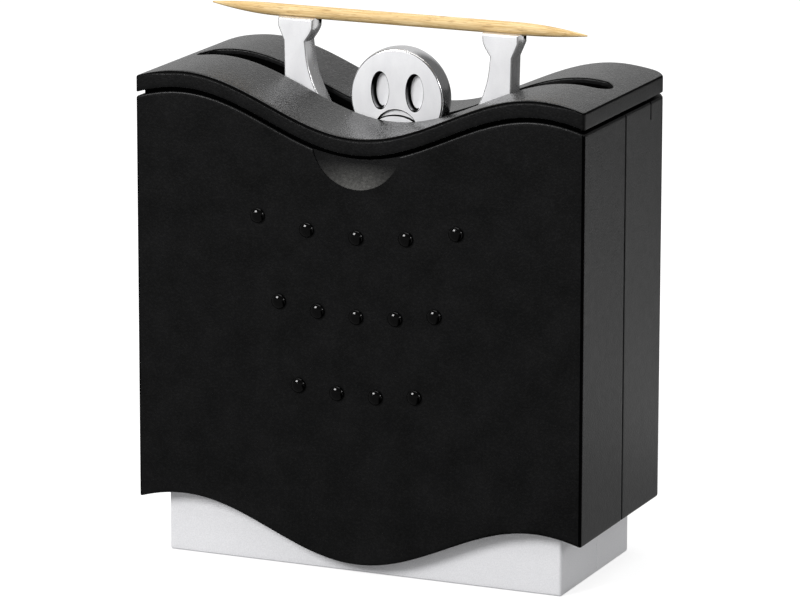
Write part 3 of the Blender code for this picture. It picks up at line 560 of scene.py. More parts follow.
def rod(radius, centre, axis, low, high, finish, steps=48):
    """A cylinder along X, Y or Z; centre is its place on the other two axes."""
    outline = arc(centre, radius, np.linspace(0, 2 * np.pi, steps, endpoint=False))
    return prism("rod", outline, axis, low, high, finish)


def rounding(radius, steps):
    """Inset and drop along a quarter-round edge, from the inner end (inset = radius) to the
    outer end (drop = radius)."""
    angle = np.linspace(0, np.pi / 2, steps + 1)
    return pairs(radius * (1 - np.sin(angle)), radius * (1 - np.cos(angle)))


def carve(piece, tools, operation="DIFFERENCE", sharp=30.0):
    """Cuts tools out of a piece, or joins them to it; the tools are used up."""
    tool = tools[0]
    if len(tools) > 1:
        joined = bmesh.new()
        for item in tools:
            joined.from_mesh(item.data)
        joined.to_mesh(tool.data)
        joined.free()
    modifier = piece.modifiers.new("carve", "BOOLEAN")
    modifier.operation = operation
    modifier.solver = "EXACT"
    modifier.object = tool
    graph = bpy.context.evaluated_depsgraph_get()
    mesh = bpy.data.meshes.new_from_object(piece.evaluated_get(graph))
    piece.modifiers.clear()
    piece.data = mesh
    for item in tools:
        bpy.data.objects.remove(item, do_unlink=True)
    shade(piece, sharp)
    return piece


def settle(piece, body, slot, *nodes):
    """The piece moves with a body and stands for the nodes; slot is not used."""
    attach(piece, body)
    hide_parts(*nodes)


# Casing and lid


def half_plan(side, reach, corner, seam, soft, flat, face):
    """Plan of half a wall from the seam on the right, round the face, to the seam on the left:
    the edge that turns in at the seam, points on the end, a round corner and the face."""
    (reach_x, reach_y), edge = reach, np.linspace(0, np.pi / 2, 5)
    lead = pairs(reach_x - soft[0] * (1 - np.sin(edge)), seam + soft[1] * (1 - np.cos(edge)))
    bend = arc((reach_x - corner, reach_y - corner), corner, np.linspace(0, np.pi / 2, 9))
    right = np.concatenate([lead, pairs(reach_x, flat), bend])
    return np.concatenate([right, pairs(face, reach_y), right[::-1] * (-1, 1)]) * (1, side)


def casing_plan(side, radius, inset):
    """Plan of half the casing, drawn in by an inset. Every inset has as many points, and only
    the outer skin turns in at the seam."""
    reach_x, reach_y = HALF_WIDTH - inset, HALF_DEPTH - inset
    corner, start, hold = max(radius - inset, 0.12 * MM), SEAM_HALF + SEAM_SOFT, 0.4 * MM
    soft = (SEAM_SOFT if inset < 0.6 * MM else 0.0, SEAM_SOFT)
    flat = (start + hold, (start + reach_y) / 2, reach_y - corner - hold)
    face = np.linspace(reach_x - corner, corner - reach_x, 129)[1:-1]
    return half_plan(side, (reach_x, reach_y), corner, SEAM_HALF, soft, flat, face)


def casing_half(name, side, corner, finish):
    """Half of the casing's wall: at each place of the plan the same section, whose rows are
    (inset, height above or below the mean edge), lifted by the wave at that x."""
    soft = rounding(EDGE_SOFT, 4)
    hold = EDGE_SOFT + 0.4 * MM
    nick = 0.15 * MM
    rows = [(inset, EDGE_BOTTOM + drop) for inset, drop in soft]
    rows += [(0.0, EDGE_BOTTOM + hold), (0.0, EDGE_SHOWN - hold)]
    rows += [(inset, EDGE_SHOWN - drop) for inset, drop in soft[::-1]]
    rows += [(LIP_INSET, EDGE_SHOWN), (LIP_INSET, EDGE_TOP + LIP_HEIGHT - nick)]
    rows += [(LIP_INSET + nick, EDGE_TOP + LIP_HEIGHT), (WALL, EDGE_TOP + LIP_HEIGHT)]
    rows += [(WALL, EDGE_BOTTOM)]
    columns = []
    for inset, height in rows:
        plan = casing_plan(side, corner, inset)
        columns.append(at_height(plan, height + wave(plan[:, 0])))
    return solid(name, np.swapaxes(columns, 0, 1), finish)


def casing_inside(side, finish):
    """Stop ledges in the corners and screw bosses across the half."""
    tools = []
    in_wall = side * (HALF_DEPTH - WALL + 0.5 * MM)
    for mirror in (-1, 1):
        x, y = np.multiply(mirror, LEDGE_X), (side * LEDGE_Y, in_wall)
        tools.append(block(x, y, LEDGE_Z, finish))
        start, end = sorted((side * SEAM_HALF, in_wall))
        centre = (mirror * BOSS_X, BOSS_Z)
        tools.append(rod(BOSS_RADIUS, centre, "Y", start, end, finish))
    return tools


def stud_places():
    """Places of the studs: rows of even spacing, each bent upwards by a parabola."""
    places = []
    for height, spacing, count in STUD_ROWS:
        x = (np.arange(count) - (count - 1) / 2) * spacing
        places += list(zip(x, height + STUD_RISE * (x / STUD_REACH) ** 2))
    return places


def scoop(finish):
    """Cutter for the thumb scoop: a shallow bowl turned about Y, whose depth falls from the
    middle to a small step at its edge as the square of the radius."""
    step, deepest, outside = 0.22 * MM, 0.92 * MM, -1.0 * MM
    rim = EDGE_TOP + float(wave(0.0))
    centre = (0.0, -HALF_DEPTH, rim - SCOOP_DROP + SCOOP_RADIUS)
    share = np.linspace(1, 0, 21)
    bowl = pairs(SCOOP_RADIUS * share, deepest - (deepest - step) * share ** 2)
    profile = np.concatenate([[(0.0, outside), (SCOOP_RADIUS, outside)], bowl])
    return turned("scoop_tool", profile, centre, (0, 1, 0), finish, 128)


def shaded_lip(shell, deep):
    """Paints the lip under the lid and the sharp front corners a deeper black, as painted shade."""
    shell.data.materials.append(deep)
    facing = np.abs(face_vectors(shell.data, "normal"))
    x, y, z = face_vectors(shell.data, "center").T
    # Painted shade: the lip and shelf under the lid, and the front corners
    lip = z - wave(x) > EDGE_SHOWN - 0.03 * MM
    corner = (facing[:, 0] > 0.25) & (facing[:, 1] > 0.25) & (facing[:, 2] < 0.25)
    lip |= corner & (np.abs(x) > HALF_WIDTH - FRONT_CORNER) & (y < -HALF_DEPTH + FRONT_CORNER)
    set_slots(shell.data, np.where(lip, 1, face_slots(shell.data)))


def front_shell(finish, deep):
    """The front half: the wall with its ledges and bosses, less the scoop, the holes for the
    studs' stems and the screws' pilot holes."""
    shell = casing_half("casing_front_half", -1, FRONT_CORNER, finish)
    carve(shell, casing_inside(-1, finish), "UNION")
    tools = [scoop(finish)]
    start, end = -HALF_DEPTH - 1 * MM, WALL - HALF_DEPTH + 1 * MM
    tools += [rod(STEM_HOLE, place, "Y", start, end, finish, 20) for place in stud_places()]
    for mirror in (-1, 1):
        centre = (mirror * BOSS_X, BOSS_Z)
        tools.append(rod(SCREW_HOLE, centre, "Y", -10.9 * MM, 1 * MM, finish, 32))
    carve(shell, tools)
    shaded_lip(shell, deep)
    settle(shell, "casing", "black_plastic", "casing_front_shell")


def rear_shell(finish, deep):
    """The rear half: the wall with its ledges, bosses, screw collars and nibs, less the screws'
    seats and bores and the slit in each side."""
    shell = casing_half("casing_rear_half", 1, REAR_CORNER, finish)
    joined = casing_inside(1, finish)
    sunk = []
    bores = []
    lip_x = HALF_WIDTH - LIP_INSET
    nib_z = EDGE_TOP + float(wave(lip_x)) + 0.25 * MM
    slit_z = EDGE_SHOWN + float(wave(HALF_WIDTH)) + 0.3 * MM
    for mirror in (-1, 1):
        centre = (mirror * BOSS_X, BOSS_Z)
        joined.append(rod(COLLAR_RADIUS, centre, "Y", *COLLAR_Y, finish))
        sunk.append(rod(HEAD_HOLE, centre, "Y", SCREW_SEAT - 0.3 * MM, 19 * MM, finish))
        bores.append(rod(SCREW_HOLE, centre, "Y", -1 * MM, 17 * MM, finish, 32))
        x = (mirror * (lip_x - 0.5 * MM), mirror * (lip_x + 0.5 * MM))
        y = (NIB_Y - 1.5 * MM, NIB_Y + 1.5 * MM)
        joined.append(block(x, y, (nib_z, nib_z + 0.45 * MM), finish))
        x = (mirror * (HALF_WIDTH - 0.8 * MM), mirror * (HALF_WIDTH + 1 * MM))
        y = (NIB_Y - 0.22 * MM, NIB_Y + 0.22 * MM)
        sunk.append(block(x, y, (slit_z - 3.1 * MM, slit_z), finish))
    for index in range(0, len(joined), 4):
        carve(shell, joined[index:index + 4], "UNION")
    carve(shell, sunk)
    carve(shell, bores)
    shaded_lip(shell, deep)
    settle(shell, "casing", "black_plastic", "casing_rear_shell")


def studs(finish):
    """Domed studs: an elliptical dome, a short waist and a stem in the wall."""
    angle = np.linspace(0, np.pi / 2, 13)
    dome = pairs(STUD_RADIUS * np.cos(angle), STUD_HEIGHT * np.sin(angle))
    thick, foot = 0.6 * MM, -2.1 * MM
    stem = [(0.0, foot), (thick, foot), (thick, 0.0), (STUD_RADIUS - 0.1 * MM, 0.0)]
    profile = np.concatenate([stem, dome[1:-1], [(0.0, STUD_HEIGHT)]])
    for number, (x, z) in enumerate(stud_places(), 1):
        seat = (x, -HALF_DEPTH - 0.1 * MM, z)
        stud = turned(f"front_stud_{number:02d}", profile, seat, (0, -1, 0), finish, 40)
        settle(stud, "casing", "gloss_black", f"stud_{number:02d}")


def lid_plan(inset):
    """Outline of the lid, drawn in by an inset: front, right end, rear, left end."""
    reach_x, reach_y = HALF_WIDTH - inset, HALF_DEPTH - inset
    front_round = max(FRONT_CORNER - inset, 0.1 * MM)
    rear_round = max(REAR_CORNER - inset, 0.1 * MM)
    share = np.linspace(-1, 1, 129)[:-1]
    front = pairs((reach_x - front_round) * share, -reach_y)
    rear = pairs(-(reach_x - rear_round) * share, reach_y)
    low = np.linspace(-np.pi / 2, 0, 7)
    high = np.linspace(0, np.pi / 2, 11)
    arc_front = arc((reach_x - front_round, front_round - reach_y), front_round, low)
    arc_rear = arc((reach_x - rear_round, reach_y - rear_round), rear_round, high)
    side_y = np.linspace(arc_front[-1, 1], arc_rear[0, 1], 10)[1:-1]
    right = np.concatenate([arc_front, pairs(reach_x, side_y), arc_rear])
    left = right[::-1] * (-1, 1)
    return np.concatenate([front, right[:-1], rear, left[:-1]])


def lid_softness(plan):
    """Radius of the top edge at each point of the outline: 0.7 mm along the long sides, and
    0.3 mm at the ends, by a smooth step."""
    away = (33.0 * MM - np.abs(plan[:, 0])) / (4.0 * MM)
    blend = np.clip(1 + away, 0, 1)
    return 0.3 * MM + 0.4 * MM * blend * blend * (3 - 2 * blend)


def outward(plan):
    """Unit normals of a closed outline that runs anticlockwise."""
    step = np.roll(plan, -1, axis=0) - np.roll(plan, 1, axis=0)
    step /= np.linalg.norm(step, axis=1, keepdims=True)
    return pairs(step[:, 1], -step[:, 0])


def slot_plan(grow):
    """Outline of the slot, grown outwards, point by point with lid_plan."""
    radius = SLOT_HALF_WIDTH + grow
    reach = SLOT_HALF_LENGTH - SLOT_HALF_WIDTH
    share = np.linspace(-1, 1, 129)[:-1]
    front = pairs(reach * share, -radius)
    angle = np.linspace(-np.pi / 2, np.pi / 2, 26)[:-1]
    end = arc((reach, 0.0), radius, angle)
    return np.concatenate([front, end, -front, -end]) + (0.0, SLOT_SHIFT)


def lid(finish, edge_finish, deep):
    """The lid as one closed band of outlines: from the slot's edge over the rounded rim, back
    below the rim, under the ceiling and down the collar round the slot."""
    plan = lid_plan(0.0)
    normal = outward(plan)
    soft = lid_softness(plan)[:, None]
    rows = []
    angle = np.linspace(np.pi / 2, 0, 5)
    for turn in angle[:-1]:
        grow, drop = SLOT_SOFT * (1 - math.sin(turn)), SLOT_SOFT * (1 - math.cos(turn))
        rows.append((slot_plan(grow), LID_TOP - drop))
    edge_slot = slot_plan(SLOT_SOFT)
    edge_rim = plan - normal * soft
    for share in (0.0, 0.04, 0.2, 0.4, 0.6, 0.8, 0.96):
        rows.append((edge_slot + (edge_rim - edge_slot) * share, LID_TOP))
    for turn in np.linspace(0, np.pi / 2, 7):
        drop = soft[:, 0] * (1 - math.cos(turn))
        rows.append((plan - normal * soft * (1 - math.sin(turn)), LID_TOP - drop))
    rows.append((plan, LID_BOTTOM + 0.55 * MM))
    for inset, drop in rounding(0.2 * MM, 3)[::-1]:
        rows.append((plan - normal * inset, LID_BOTTOM + drop))
    inside, collar, slot = lid_plan(RIM_WALL), slot_plan(COLLAR_WALL), slot_plan(0.0)
    rows += [(inside, LID_BOTTOM), (inside, LID_CEILING)]
    rows += [(inside * 0.5 + collar * 0.5, LID_CEILING), (collar, LID_CEILING)]
    rows += [(collar, COLLAR_BOTTOM), (slot, COLLAR_BOTTOM), (slot, SLOT_SHADE)]
    grid = [at_height(flat, height + wave(flat[:, 0])) for flat, height in rows]
    piece = solid("wavy_lid", grid, [finish, edge_finish, deep], wrap_rows=True)
    # Painted shade and dark reflection: slot 2 goes on the turning faces of the rounded edges and
    # on the slot's wall below SLOT_SHADE
    facing = face_vectors(piece.data, "normal")
    beside = np.maximum(np.abs(facing[:, 0]), np.abs(facing[:, 1]))
    turning = (beside > 0.5) & (beside < 0.93) & (facing[:, 2] > 0.2)
    x, y, z = face_vectors(piece.data, "center").T
    well = np.abs(y - SLOT_SHIFT) < SLOT_HALF_WIDTH + 0.05 * MM
    well &= (np.abs(x) < SLOT_HALF_LENGTH) & (z - wave(x) < SLOT_SHADE)
    set_slots(piece.data, np.where(turning | well, 2, np.where(beside > 0.75, 1, 0)))
    settle(piece, "lid", "black_plastic", "lid")


# Base


def base_plan(side, radius, inset, seam, soft):
    """Plan of half the base, drawn in by an inset, its edges turned in by soft at the seam."""
    reach_x, reach_y = BASE_X - inset, BASE_Y - inset
    corner, hold = max(radius - inset, 0.12 * MM), 0.5 * MM
    flat = (seam + soft + hold, reach_y - corner - hold)
    face = np.array((1, -1)) * (reach_x - corner - hold)
    return half_plan(side, (reach_x, reach_y), corner, seam, (soft, soft), flat, face)


def base_half(name, node, side, radius, finish):
    """Half of the silver base: outlines stacked with rounded lower and upper edges, then the
    cavity, the figure's slot and the screw posts, shoulders and stop arms."""
    seam, soft, roof = 0.01 * MM, 0.25 * MM, 1.8 * MM
    rows = [(inset, BASE_BOTTOM + drop) for inset, drop in rounding(BASE_SOFT, 5)]
    rows += [(0.0, BASE_BOTTOM + 1.0 * MM), (0.0, BASE_TOP - 0.9 * MM)]
    rows += [(inset, BASE_TOP - drop) for inset, drop in rounding(0.5 * MM, 4)[::-1]]
    grid = [at_height(base_plan(side, radius, inset, seam, soft), z) for inset, z in rows]
    shell = solid(name, grid, finish)
    inner = base_plan(side, radius, BASE_WALL, -1.0 * MM, 0.0)
    cavity = prism("cavity", inner, "Z", BASE_BOTTOM - 1 * MM, BASE_TOP - roof, finish)
    carve(shell, [cavity])
    carve(shell, base_joined(side, finish), "UNION")
    x, y = (-12.3 * MM, 12.3 * MM), (-side * 1.0 * MM, side * 2.225 * MM)
    tools = [block(x, y, (42.2 * MM, 46.0 * MM), finish)]
    for mirror in (-1, 1):
        centre = (mirror * PLATE_SCREW[0], side * PLATE_SCREW[1])
        tools.append(rod(PLATE_HOLE, centre, "Z", -1 * MM, 14.4 * MM, finish, 32))
    carve(shell, tools)
    settle(shell, "base", "silver_lacquer", node)


def base_joined(side, finish):
    """Screw posts inside, and a shoulder with a T-headed stop arm at each end."""
    tools = []
    for mirror in (-1, 1):
        post = block(np.multiply(mirror, POST_X), np.multiply(side, POST_Y), POST_Z, finish)
        x, y = np.multiply(mirror, SHOULDER_X), np.multiply(side, SHOULDER_Y)
        shoulder = block(x, y, SHOULDER_Z, finish)
        outline = np.array(ARM_OUTLINE) * MM * (side, 1.0)
        arm = prism("arm", outline, "X", *sorted(np.multiply(mirror, ARM_X)), finish)
        tools += [post, carve(shoulder, [arm], "UNION")]
    return tools


def rounded_plan(length, width, radius, steps=8):
    """Anticlockwise outline of a rectangle with round corners."""
    points = []
    for corner, (sx, sy) in enumerate(((1, 1), (-1, 1), (-1, -1), (1, -1))):
        angle = np.linspace(0, np.pi / 2, steps + 1) + corner * np.pi / 2
        centre = (sx * (length / 2 - radius), sy * (width / 2 - radius))
        points.append(arc(centre, radius, angle))
    return np.concatenate(points)


def slab(name, plan, low, high, soft, finish):
    """A flat plate whose upper and lower edges are rounded by soft."""
    normal = outward(plan)
    rows = [(plan - normal * inset, low + drop) for inset, drop in rounding(soft, 3)]
    rows += [(plan - normal * inset, high - drop) for inset, drop in rounding(soft, 3)[::-1]]
    return solid(name, [at_height(flat, z) for flat, z in rows], finish, sharp=40.0)


def plate_corners():
    """The four screws' places on the bottom plate."""
    return [(sx * PLATE_SCREW[0], sy * PLATE_SCREW[1]) for sx in (-1, 1) for sy in (-1, 1)]


def underside(finish, pad_finish):
    """The plate under the base, with its screw holes, and the soft pad on it."""
    outline = rounded_plan(64.4 * MM, 26.2 * MM, 1.0 * MM)
    plate = slab("bottom_plate", outline, PLATE_BOTTOM, PLATE_TOP, 0.15 * MM, finish)
    tools, recesses = [], []
    below = -1 * MM
    for centre in plate_corners():
        tools.append(rod(PLATE_HOLE, centre, "Z", below, 4 * MM, finish, 32))
        recesses.append(rod(2.4 * MM, centre, "Z", below, 2.05 * MM, finish))
    carve(plate, tools)
    carve(plate, recesses)
    settle(plate, "base", "inner_plastic", "base_bottom_plate")
    outline = rounded_plan(50 * MM, 22 * MM, 2 * MM)
    pad = slab("foam_pad", outline, 0.0, 0.6 * MM, 0.12 * MM, pad_finish)
    settle(pad, "base", "pad_foam", "anti_slip_pad")


def screw(name, node, body, sizes, seat, axis, finish):
    """A pan-head screw: a rounded head with a cross recess over a plain shank."""
    shank, length, head, height = sizes
    crown = height * 0.35
    bow = [(head - inset, height - drop) for inset, drop in rounding(crown, 5)[::-1]]
    top = np.linspace(head - crown, 0, 5)[1:]
    bulge = [(r, height + 0.12 * height * (1 - (r / (head - crown)) ** 2)) for r in top]
    rim = [(shank, 0.0), (head - 0.08 * MM, 0.0), (head, 0.08 * MM)]
    profile = [(0.0, -length), (shank * 0.5, -length), (shank, shank - length)] + rim + bow + bulge
    piece = turned(name, profile, seat, axis, finish, 40)
    tip = np.asarray(seat) + np.asarray(axis) * height * 0.35
    arm, half = head * 0.62, head * 0.13
    step = np.array([(arm, half), (half, half), (half, arm)])
    cross = np.concatenate([step, step[::-1] * (-1, 1), -step, step[::-1] * (1, -1)])
    word, along, other = ("Y", 1, 2) if abs(axis[1]) > 0.5 else ("Z", 2, 1)
    ends = sorted((tip[along], tip[along] + axis[along] * height))
    recess = prism("recess", cross + (tip[0], tip[other]), word, *ends, finish)
    carve(piece, [recess], sharp=35.0)
    settle(piece, body, "plated_steel", node)


def screws(finish):
    """Two screws in the rear of the casing and four under the base."""
    for word, mirror in (("left", -1), ("right", 1)):
        seat = (mirror * BOSS_X, SCREW_SEAT, BOSS_Z)
        node = f"casing_screw_{word}"
        screw(f"rear_screw_{word}", node, "casing", CASING_SCREW, seat, (0, 1, 0), finish)
    for number, (x, y) in enumerate(plate_corners(), 1):
        name, seat = f"plate_screw_{number}", (x, y, 1.75 * MM)
        screw(name, f"base_screw_{number}", "base", BASE_SCREW, seat, (0, 0, -1), finish)


# Figure and toothpicks


def curve(points, steps=6):
    """A smooth line through points: on each span the Catmull-Rom cubic of its neighbours."""
    points = np.asarray(points, dtype=float)
    padded = np.vstack([2 * points[0] - points[1], points, 2 * points[-1] - points[-2]])
    t = np.linspace(0, 1, steps, endpoint=False)[:, None]
    spans = []
    for a, b, c, d in zip(padded, padded[1:], padded[2:], padded[3:]):
        spans.append(0.5 * (2 * b + (c - a) * t + (2 * a - 5 * b + 4 * c - d) * t ** 2
                            + (3 * b - a - 3 * c + d) * t ** 3))
    return np.concatenate(spans + [points[-1:]])


def figure_outline():
    """Right side of the figure in millimetres from the top of the head down, then its mirror
    image. The arms' edges are shares of the way between two ends: (across, up)."""
    wrist, neck = np.array([15.85, 83.0028]), np.array([3.6, 66.603])
    armpit, waist = np.array([19.7, 69.003]), np.array([12.6, 52.8828])
    fore = [(0.03, 0.19), (0.075, 0.32), (0.125, 0.42), (0.20, 0.53), (0.30, 0.66), (0.43, 0.79),
            (0.60, 0.90), (0.80, 0.97)]
    flank = [(0.05, 0.10), (0.20, 0.25), (0.45, 0.42), (0.70, 0.62), (0.90, 0.82)]
    radius, height = HEAD_RADIUS / MM, HEAD_Z / MM
    angle = np.linspace(0, np.pi - math.asin(neck[0] / radius), 57)
    head = pairs(radius * np.sin(angle), height + radius * np.cos(angle))
    inner = curve([neck] + [wrist + (neck - wrist) * s for s in reversed(fore)] + [wrist])
    hand_in = curve([wrist, (15.1, 84.1), (14.61, 85.1), (14.5, 85.9)])[1:]
    hand = np.array([(14.5, 86.9028), (21.0, 86.9028), (21.0, 85.3028), (20.0, 83.0028)])
    side = curve([(20.0, 83.0028), armpit], 3)[1:-1]
    body = curve([armpit] + [armpit + (waist - armpit) * s for s in flank] + [waist])
    tang = np.array([(12.0, 45.3), (12.0, 4.6)])
    right = np.concatenate([head, inner, hand_in, hand, side, body, tang])
    return np.concatenate([right, (right[1:] * (-1, 1))[::-1]]) * MM


def drawn_in(outline, inset):
    """A closed outline moved inwards: each corner goes along its mitre."""
    following = np.roll(outline, -1, axis=0)
    area = np.sum(outline[:, 0] * following[:, 1] - following[:, 0] * outline[:, 1])
    normals = []
    for step in (outline - np.roll(outline, 1, axis=0), following - outline):
        step = step / np.linalg.norm(step, axis=1, keepdims=True)
        normals.append(math.copysign(1.0, area) * pairs(-step[:, 1], step[:, 0]))
    share = 1 + np.sum(normals[0] * normals[1], axis=1, keepdims=True)
    return outline + inset * (normals[0] + normals[1]) / share


def face_outlines():
    """The eyes, upright ovals, and the mouth, a crescent between two arcs, points down."""
    angle = np.linspace(0, 2 * np.pi, 64, endpoint=False)
    shapes = []
    for centre in EYES_X:
        x = centre + EYE_HALF[0] * np.cos(angle)
        shapes.append(pairs(x, HEAD_Z + EYES_RISE + EYE_HALF[1] * np.sin(angle)))
    radius = (MOUTH_HALF ** 2 + MOUTH_RISE ** 2) / (2 * MOUTH_RISE)
    spread = math.asin(MOUTH_HALF / radius)
    turn = np.linspace(spread, -spread, 33)
    x = radius * np.sin(turn)
    bow = radius * (np.cos(turn) - math.cos(spread))
    foot = HEAD_Z - MOUTH_DROP
    upper = pairs(x, foot + bow)
    lower = pairs(x, foot + MOUTH_SHARE * bow)[::-1][1:-1]
    shapes.append(np.concatenate([upper, lower]))
    return shapes


def pocket(shape, steps, finishes):
    """Cutter for a pocket in the face: the shape, grown and set back by steps. An eye's lower wall
    is bright on its right; other walls are painted black as shade, and the floor bright."""
    count = len(shape)
    sections = [at_depth(drawn_in(shape, -grow * MM), -FIGURE_HALF - y * MM) for grow, y in steps]
    tool = solid("pocket", sections, finishes)
    # Painted shade: black walls; the eyes' deeper right walls and the floor stay bright
    slots = np.ones((len(steps) - 1, count))
    if steps is EYE_STEPS:
        slots[3:, np.cos(np.arange(count) * 2 * np.pi / count) > 0.3] = 2
    set_slots(tool.data, [*slots.reshape(-1), 2, 2])
    return tool


def figure(polished, dark, blasted):
    """The plate between its two rounded edges, its rim crowned as the square of the distance
    from the middle, with pockets, hand grooves and screw holes."""
    outline = figure_outline()
    soft = rounding(FIGURE_SOFT, 5)
    rows = [(inset + RIM_CROWN, drop - FIGURE_HALF) for inset, drop in soft]
    for share in np.linspace(-1, 1, 9)[1:-1]:
        rows.append((RIM_CROWN * share ** 2, share * (FIGURE_HALF - FIGURE_SOFT)))
    rows += [(inset + RIM_CROWN, FIGURE_HALF - drop) for inset, drop in soft[::-1]]
    grid = [at_depth(drawn_in(outline, inset), y) for inset, y in rows]
    finishes = [polished, dark, blasted]
    piece = solid("standing_figure", grid, finishes)
    steps = (EYE_STEPS, EYE_STEPS, MOUTH_STEPS)
    tools = [pocket(shape, step, finishes) for shape, step in zip(face_outlines(), steps)]
    reach, room = 22.0 * MM, 0.15 * MM
    tools.append(rod(PICK_RADIUS + room, (0.0, PICK_Z), "X", -reach, reach, polished))
    for mirror in (-1, 1):
        centre = (mirror * TANG_HOLE[0], TANG_HOLE[1])
        tools.append(rod(1.8 * MM, centre, "Y", -3 * MM, 3 * MM, polished, 32))
    carve(piece, tools)
    # Painted shade: a black groove along the back of each hand's top, under the toothpick
    relief = arc((0.85, 86.45), 0.72, np.linspace(np.pi, 2 * np.pi, 17))
    relief = np.vstack([[(0.13, 88.5)], relief, [(1.57, 88.5)]]) * MM
    deep = prism("relief", relief, "X", -reach, reach, finishes)
    set_slots(deep.data, np.ones(len(deep.data.polygons)))
    carve(piece, [deep])
    slots = face_slots(piece.data)
    flat = (np.abs(face_vectors(piece.data, "normal")[:, 1]) > 0.98) & (slots == 0)
    set_slots(piece.data, np.where(flat, 2, slots))
    settle(piece, "base", "satin_zinc", "figure")


def toothpick(name, node, body, centre, lean, finish):
    """A round toothpick along X whose ends taper as a sine to a fine point; the points stand
    off the middle line by lean, a height at the left and one at the right."""
    share = np.linspace(0, 1, 19)
    swell = PICK_TIP + (PICK_RADIUS - PICK_TIP) * np.sin(np.pi / 2 * share ** 0.92)
    along = share * PICK_TAPER - PICK_LENGTH / 2
    rows_along = np.concatenate([along, -along[::-1]])
    radius = np.concatenate([swell, swell[::-1]])[:, None]
    shift = np.concatenate([lean[0] * (1 - share) ** 1.5, lean[1] * (1 - share[::-1]) ** 1.5])
    angle = np.linspace(0, 2 * np.pi, 32, endpoint=False)
    x = np.repeat(rows_along[:, None], 32, axis=1)
    section = [x, radius * np.cos(angle), radius * np.sin(angle) + shift[:, None]]
    grid = np.stack(section, axis=-1) + np.asarray(centre)
    piece = solid(name, grid, finish, sharp=60.0)
    settle(piece, body, "birch", node)


def toothpicks(finish):
    """The toothpick in the hands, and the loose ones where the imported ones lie."""
    centre, lean = (PICK_SHIFT, 0.0, PICK_Z), (0.45 * MM, -0.3 * MM)
    toothpick("held_toothpick", "raised_toothpick", "toothpick", centre, lean, finish)
    for side in ("front", "rear"):
        for number in range(1, 6):
            node = f"spare_toothpick_{side}_{number}"
            low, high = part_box(node)
            name = f"loose_{side}_{number}"
            toothpick(name, node, "casing", (low + high) / 2, (0.0, 0.0), finish)


# Surroundings


def plain_finish(node, finish):
    """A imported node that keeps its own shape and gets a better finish."""
    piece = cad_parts[node]
    piece.data.materials.clear()
    piece.data.materials.append(finish)


def facing_matrix(right, up, back, place):
    """The matrix of a camera or a lamp at a place, whose -Z looks away from back."""
    matrix = np.identity(4)
    matrix[:3, :3] = np.array([right, up, back]).T
    matrix[:3, 3] = place
    return Matrix(matrix.tolist())


def camera():
    """The photograph's view: azimuth and elevation give the way it looks, roll turns it."""
    az, el = CAMERA_AZIMUTH, CAMERA_ELEVATION
    ahead = np.array([-math.sin(az) * math.cos(el), math.cos(az) * math.cos(el), -math.sin(el)])
    right = np.cross(ahead, (0.0, 0.0, 1.0))
    right /= np.linalg.norm(right)
    up = np.cross(right, ahead)
    c, s = math.cos(CAMERA_ROLL), math.sin(CAMERA_ROLL)
    data = bpy.data.cameras.new("camera")
    data.lens = CAMERA_LENS
    data.sensor_width = CAMERA_SENSOR
    data.clip_start = 0.01
    data.clip_end = 20.0
    eye = placed("camera", data)
    eye.matrix_world = facing_matrix(c * right + s * up, c * up - s * right, -ahead, CAMERA_PLACE)
    bpy.context.scene.camera = eye


def lamp(name, place, aim, size, watts):
    """A white rectangular lamp at a place, turned to the point that it aims at."""
    data = bpy.data.lights.new(name, "AREA")
    data.shape = "RECTANGLE"
    data.size, data.size_y = size
    data.energy = watts
    back = np.array(place) - np.array(aim)
    back /= np.linalg.norm(back)
    right = np.cross((0.0, 0.0, 1.0), back)
    right /= np.linalg.norm(right)
    placed(name, data).matrix_world = facing_matrix(right, np.cross(back, right), back, place)


def floor_finish():
    """A pale floor. Mirrored rays see it brighter on the left and the right and darker
    between, with a white card behind the right end that brightens away from the part. Turn
    is the angle from straight ahead of the front towards the right end."""
    made = Finish("floor", Roughness=0.95, Specular_IOR_Level=0.0, Emission_Strength=1.0)
    x, y, _ = made.axes()
    turn = x.maths("ARCTAN2", x, y * -1.0)
    behind = abs(turn).between(2.42, 2.5)
    card = (1.0 - y.between(0.6, 0.75)) * (1.0 - abs(turn).between(2.67, 2.73))
    card = card * (0.4 + 2.9 * y.between(0.05, 0.3))
    far_left = 0.3 - 0.3 * x.between(-0.1, 0.0)
    left = 1.0 - turn.between(0.35, 0.65)
    right = turn.between(1.1, 1.4)
    mirrored = (left * 0.19 + right * 0.5) * (1.0 - behind) + behind * (0.05 + far_left + card)
    shiny = made.rays("Glossy")
    made.give("Base Color", made.mixed(shiny, 0.36, 0.0))
    level = made.rays("Camera") * 0.78 + shiny * mirrored + made.rays("Transmission") * 0.6
    made.give("Emission Color", made.mixed(level, 0.0, 1.0))
    return made.owner


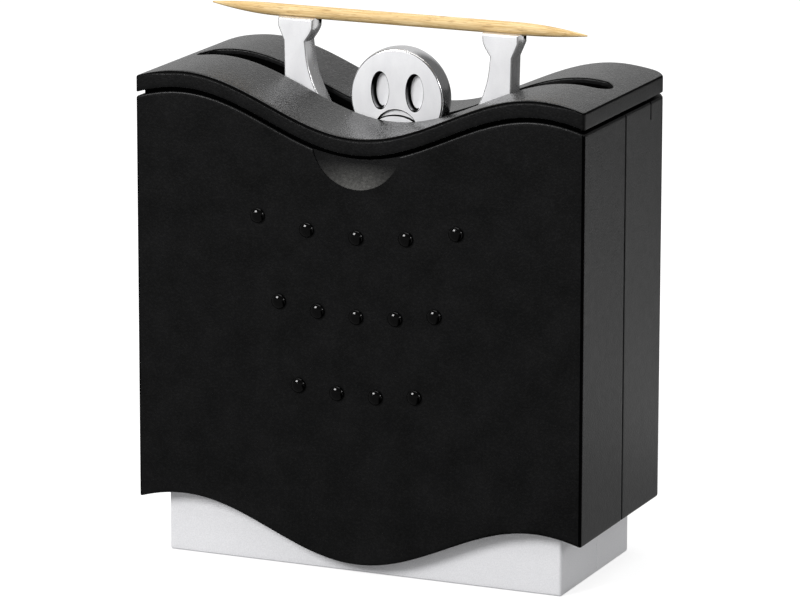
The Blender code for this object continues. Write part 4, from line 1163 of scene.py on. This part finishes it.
def room_light():
    """White for the camera. Mirrored rays see it fade upwards in front and to the right in the
    rear, and other rays see an even grey."""
    made = Finish("room", bpy.data.worlds, "Background", Color=(1.0, 1.0, 1.0, 1.0))
    x, y, z = made.axes()
    rear = y.between(-0.2, 0.2)
    front_sky = 0.22 - z.between(0.02, 0.4) * 0.1
    rear_sky = 0.64 - x.between(-0.15, 0.1) * 0.5
    mirrored = front_sky * (1.0 - rear) + rear_sky * rear
    eye, shiny = made.rays("Camera"), made.rays("Glossy")
    eye = eye.maths("MAXIMUM", eye, made.rays("Transmission"))
    level = eye + (1.0 - eye) * (shiny * mirrored + (1.0 - shiny) * 0.45)
    made.give("Strength", level)
    bpy.context.scene.world = made.owner


def surroundings():
    """The floor, the room's light and three lamps; the key lamp is high on the front left."""
    room_light()
    rim = arc((0.0, 0.0), FLOOR_RADIUS, np.linspace(0, 2 * np.pi, 64, endpoint=False))
    mesh = bpy.data.meshes.new("floor")
    mesh.from_pydata(np.column_stack([rim, np.zeros(64)]).tolist(), [], [list(range(64))])
    mesh.materials.append(floor_finish())
    floor = placed("floor", mesh)

    middle = (0.0, 0.0, 45.0 * MM)
    lamp("key", (-0.45, -0.8, 0.6), middle, (0.36, 0.36), 8.9)
    lamp("top", (0.05, 0.15, 0.9), middle, (0.8, 0.8), 4.0)
    lamp("side", (0.8, -0.25, 0.35), middle, (0.14, 0.17), 1.05)
    bpy.context.scene.view_settings.view_transform = "Standard"


def build():
    """Dresses every node, then sets up the surroundings."""
    plastic, shade_black = casing_plastic("black_plastic", 1.3), painted_shade_black()
    inner, silver, steel = inner_plastic(), silver_lacquer(), plated_steel()
    front_shell(plastic, shade_black)
    rear_shell(casing_plastic("rear_plastic", 1.34), shade_black)
    studs(stud_plastic())
    lid(lid_plastic(), plastic, shade_black)
    base_half("base_front_half", "base_front_shell", -1, FRONT_CORNER, silver)
    base_half("base_rear_half", "base_rear_shell", 1, REAR_CORNER, silver)
    underside(inner, foam())
    screws(steel)
    figure(satin_zinc(), pocket_painted_shade(), blasted_zinc())
    toothpicks(birch())
    plain_finish("hopper", inner)
    for node in ("ballast_weight", "figure_screw_left", "figure_screw_right"):
        plain_finish(node, steel)
    surroundings()
    camera()


build()
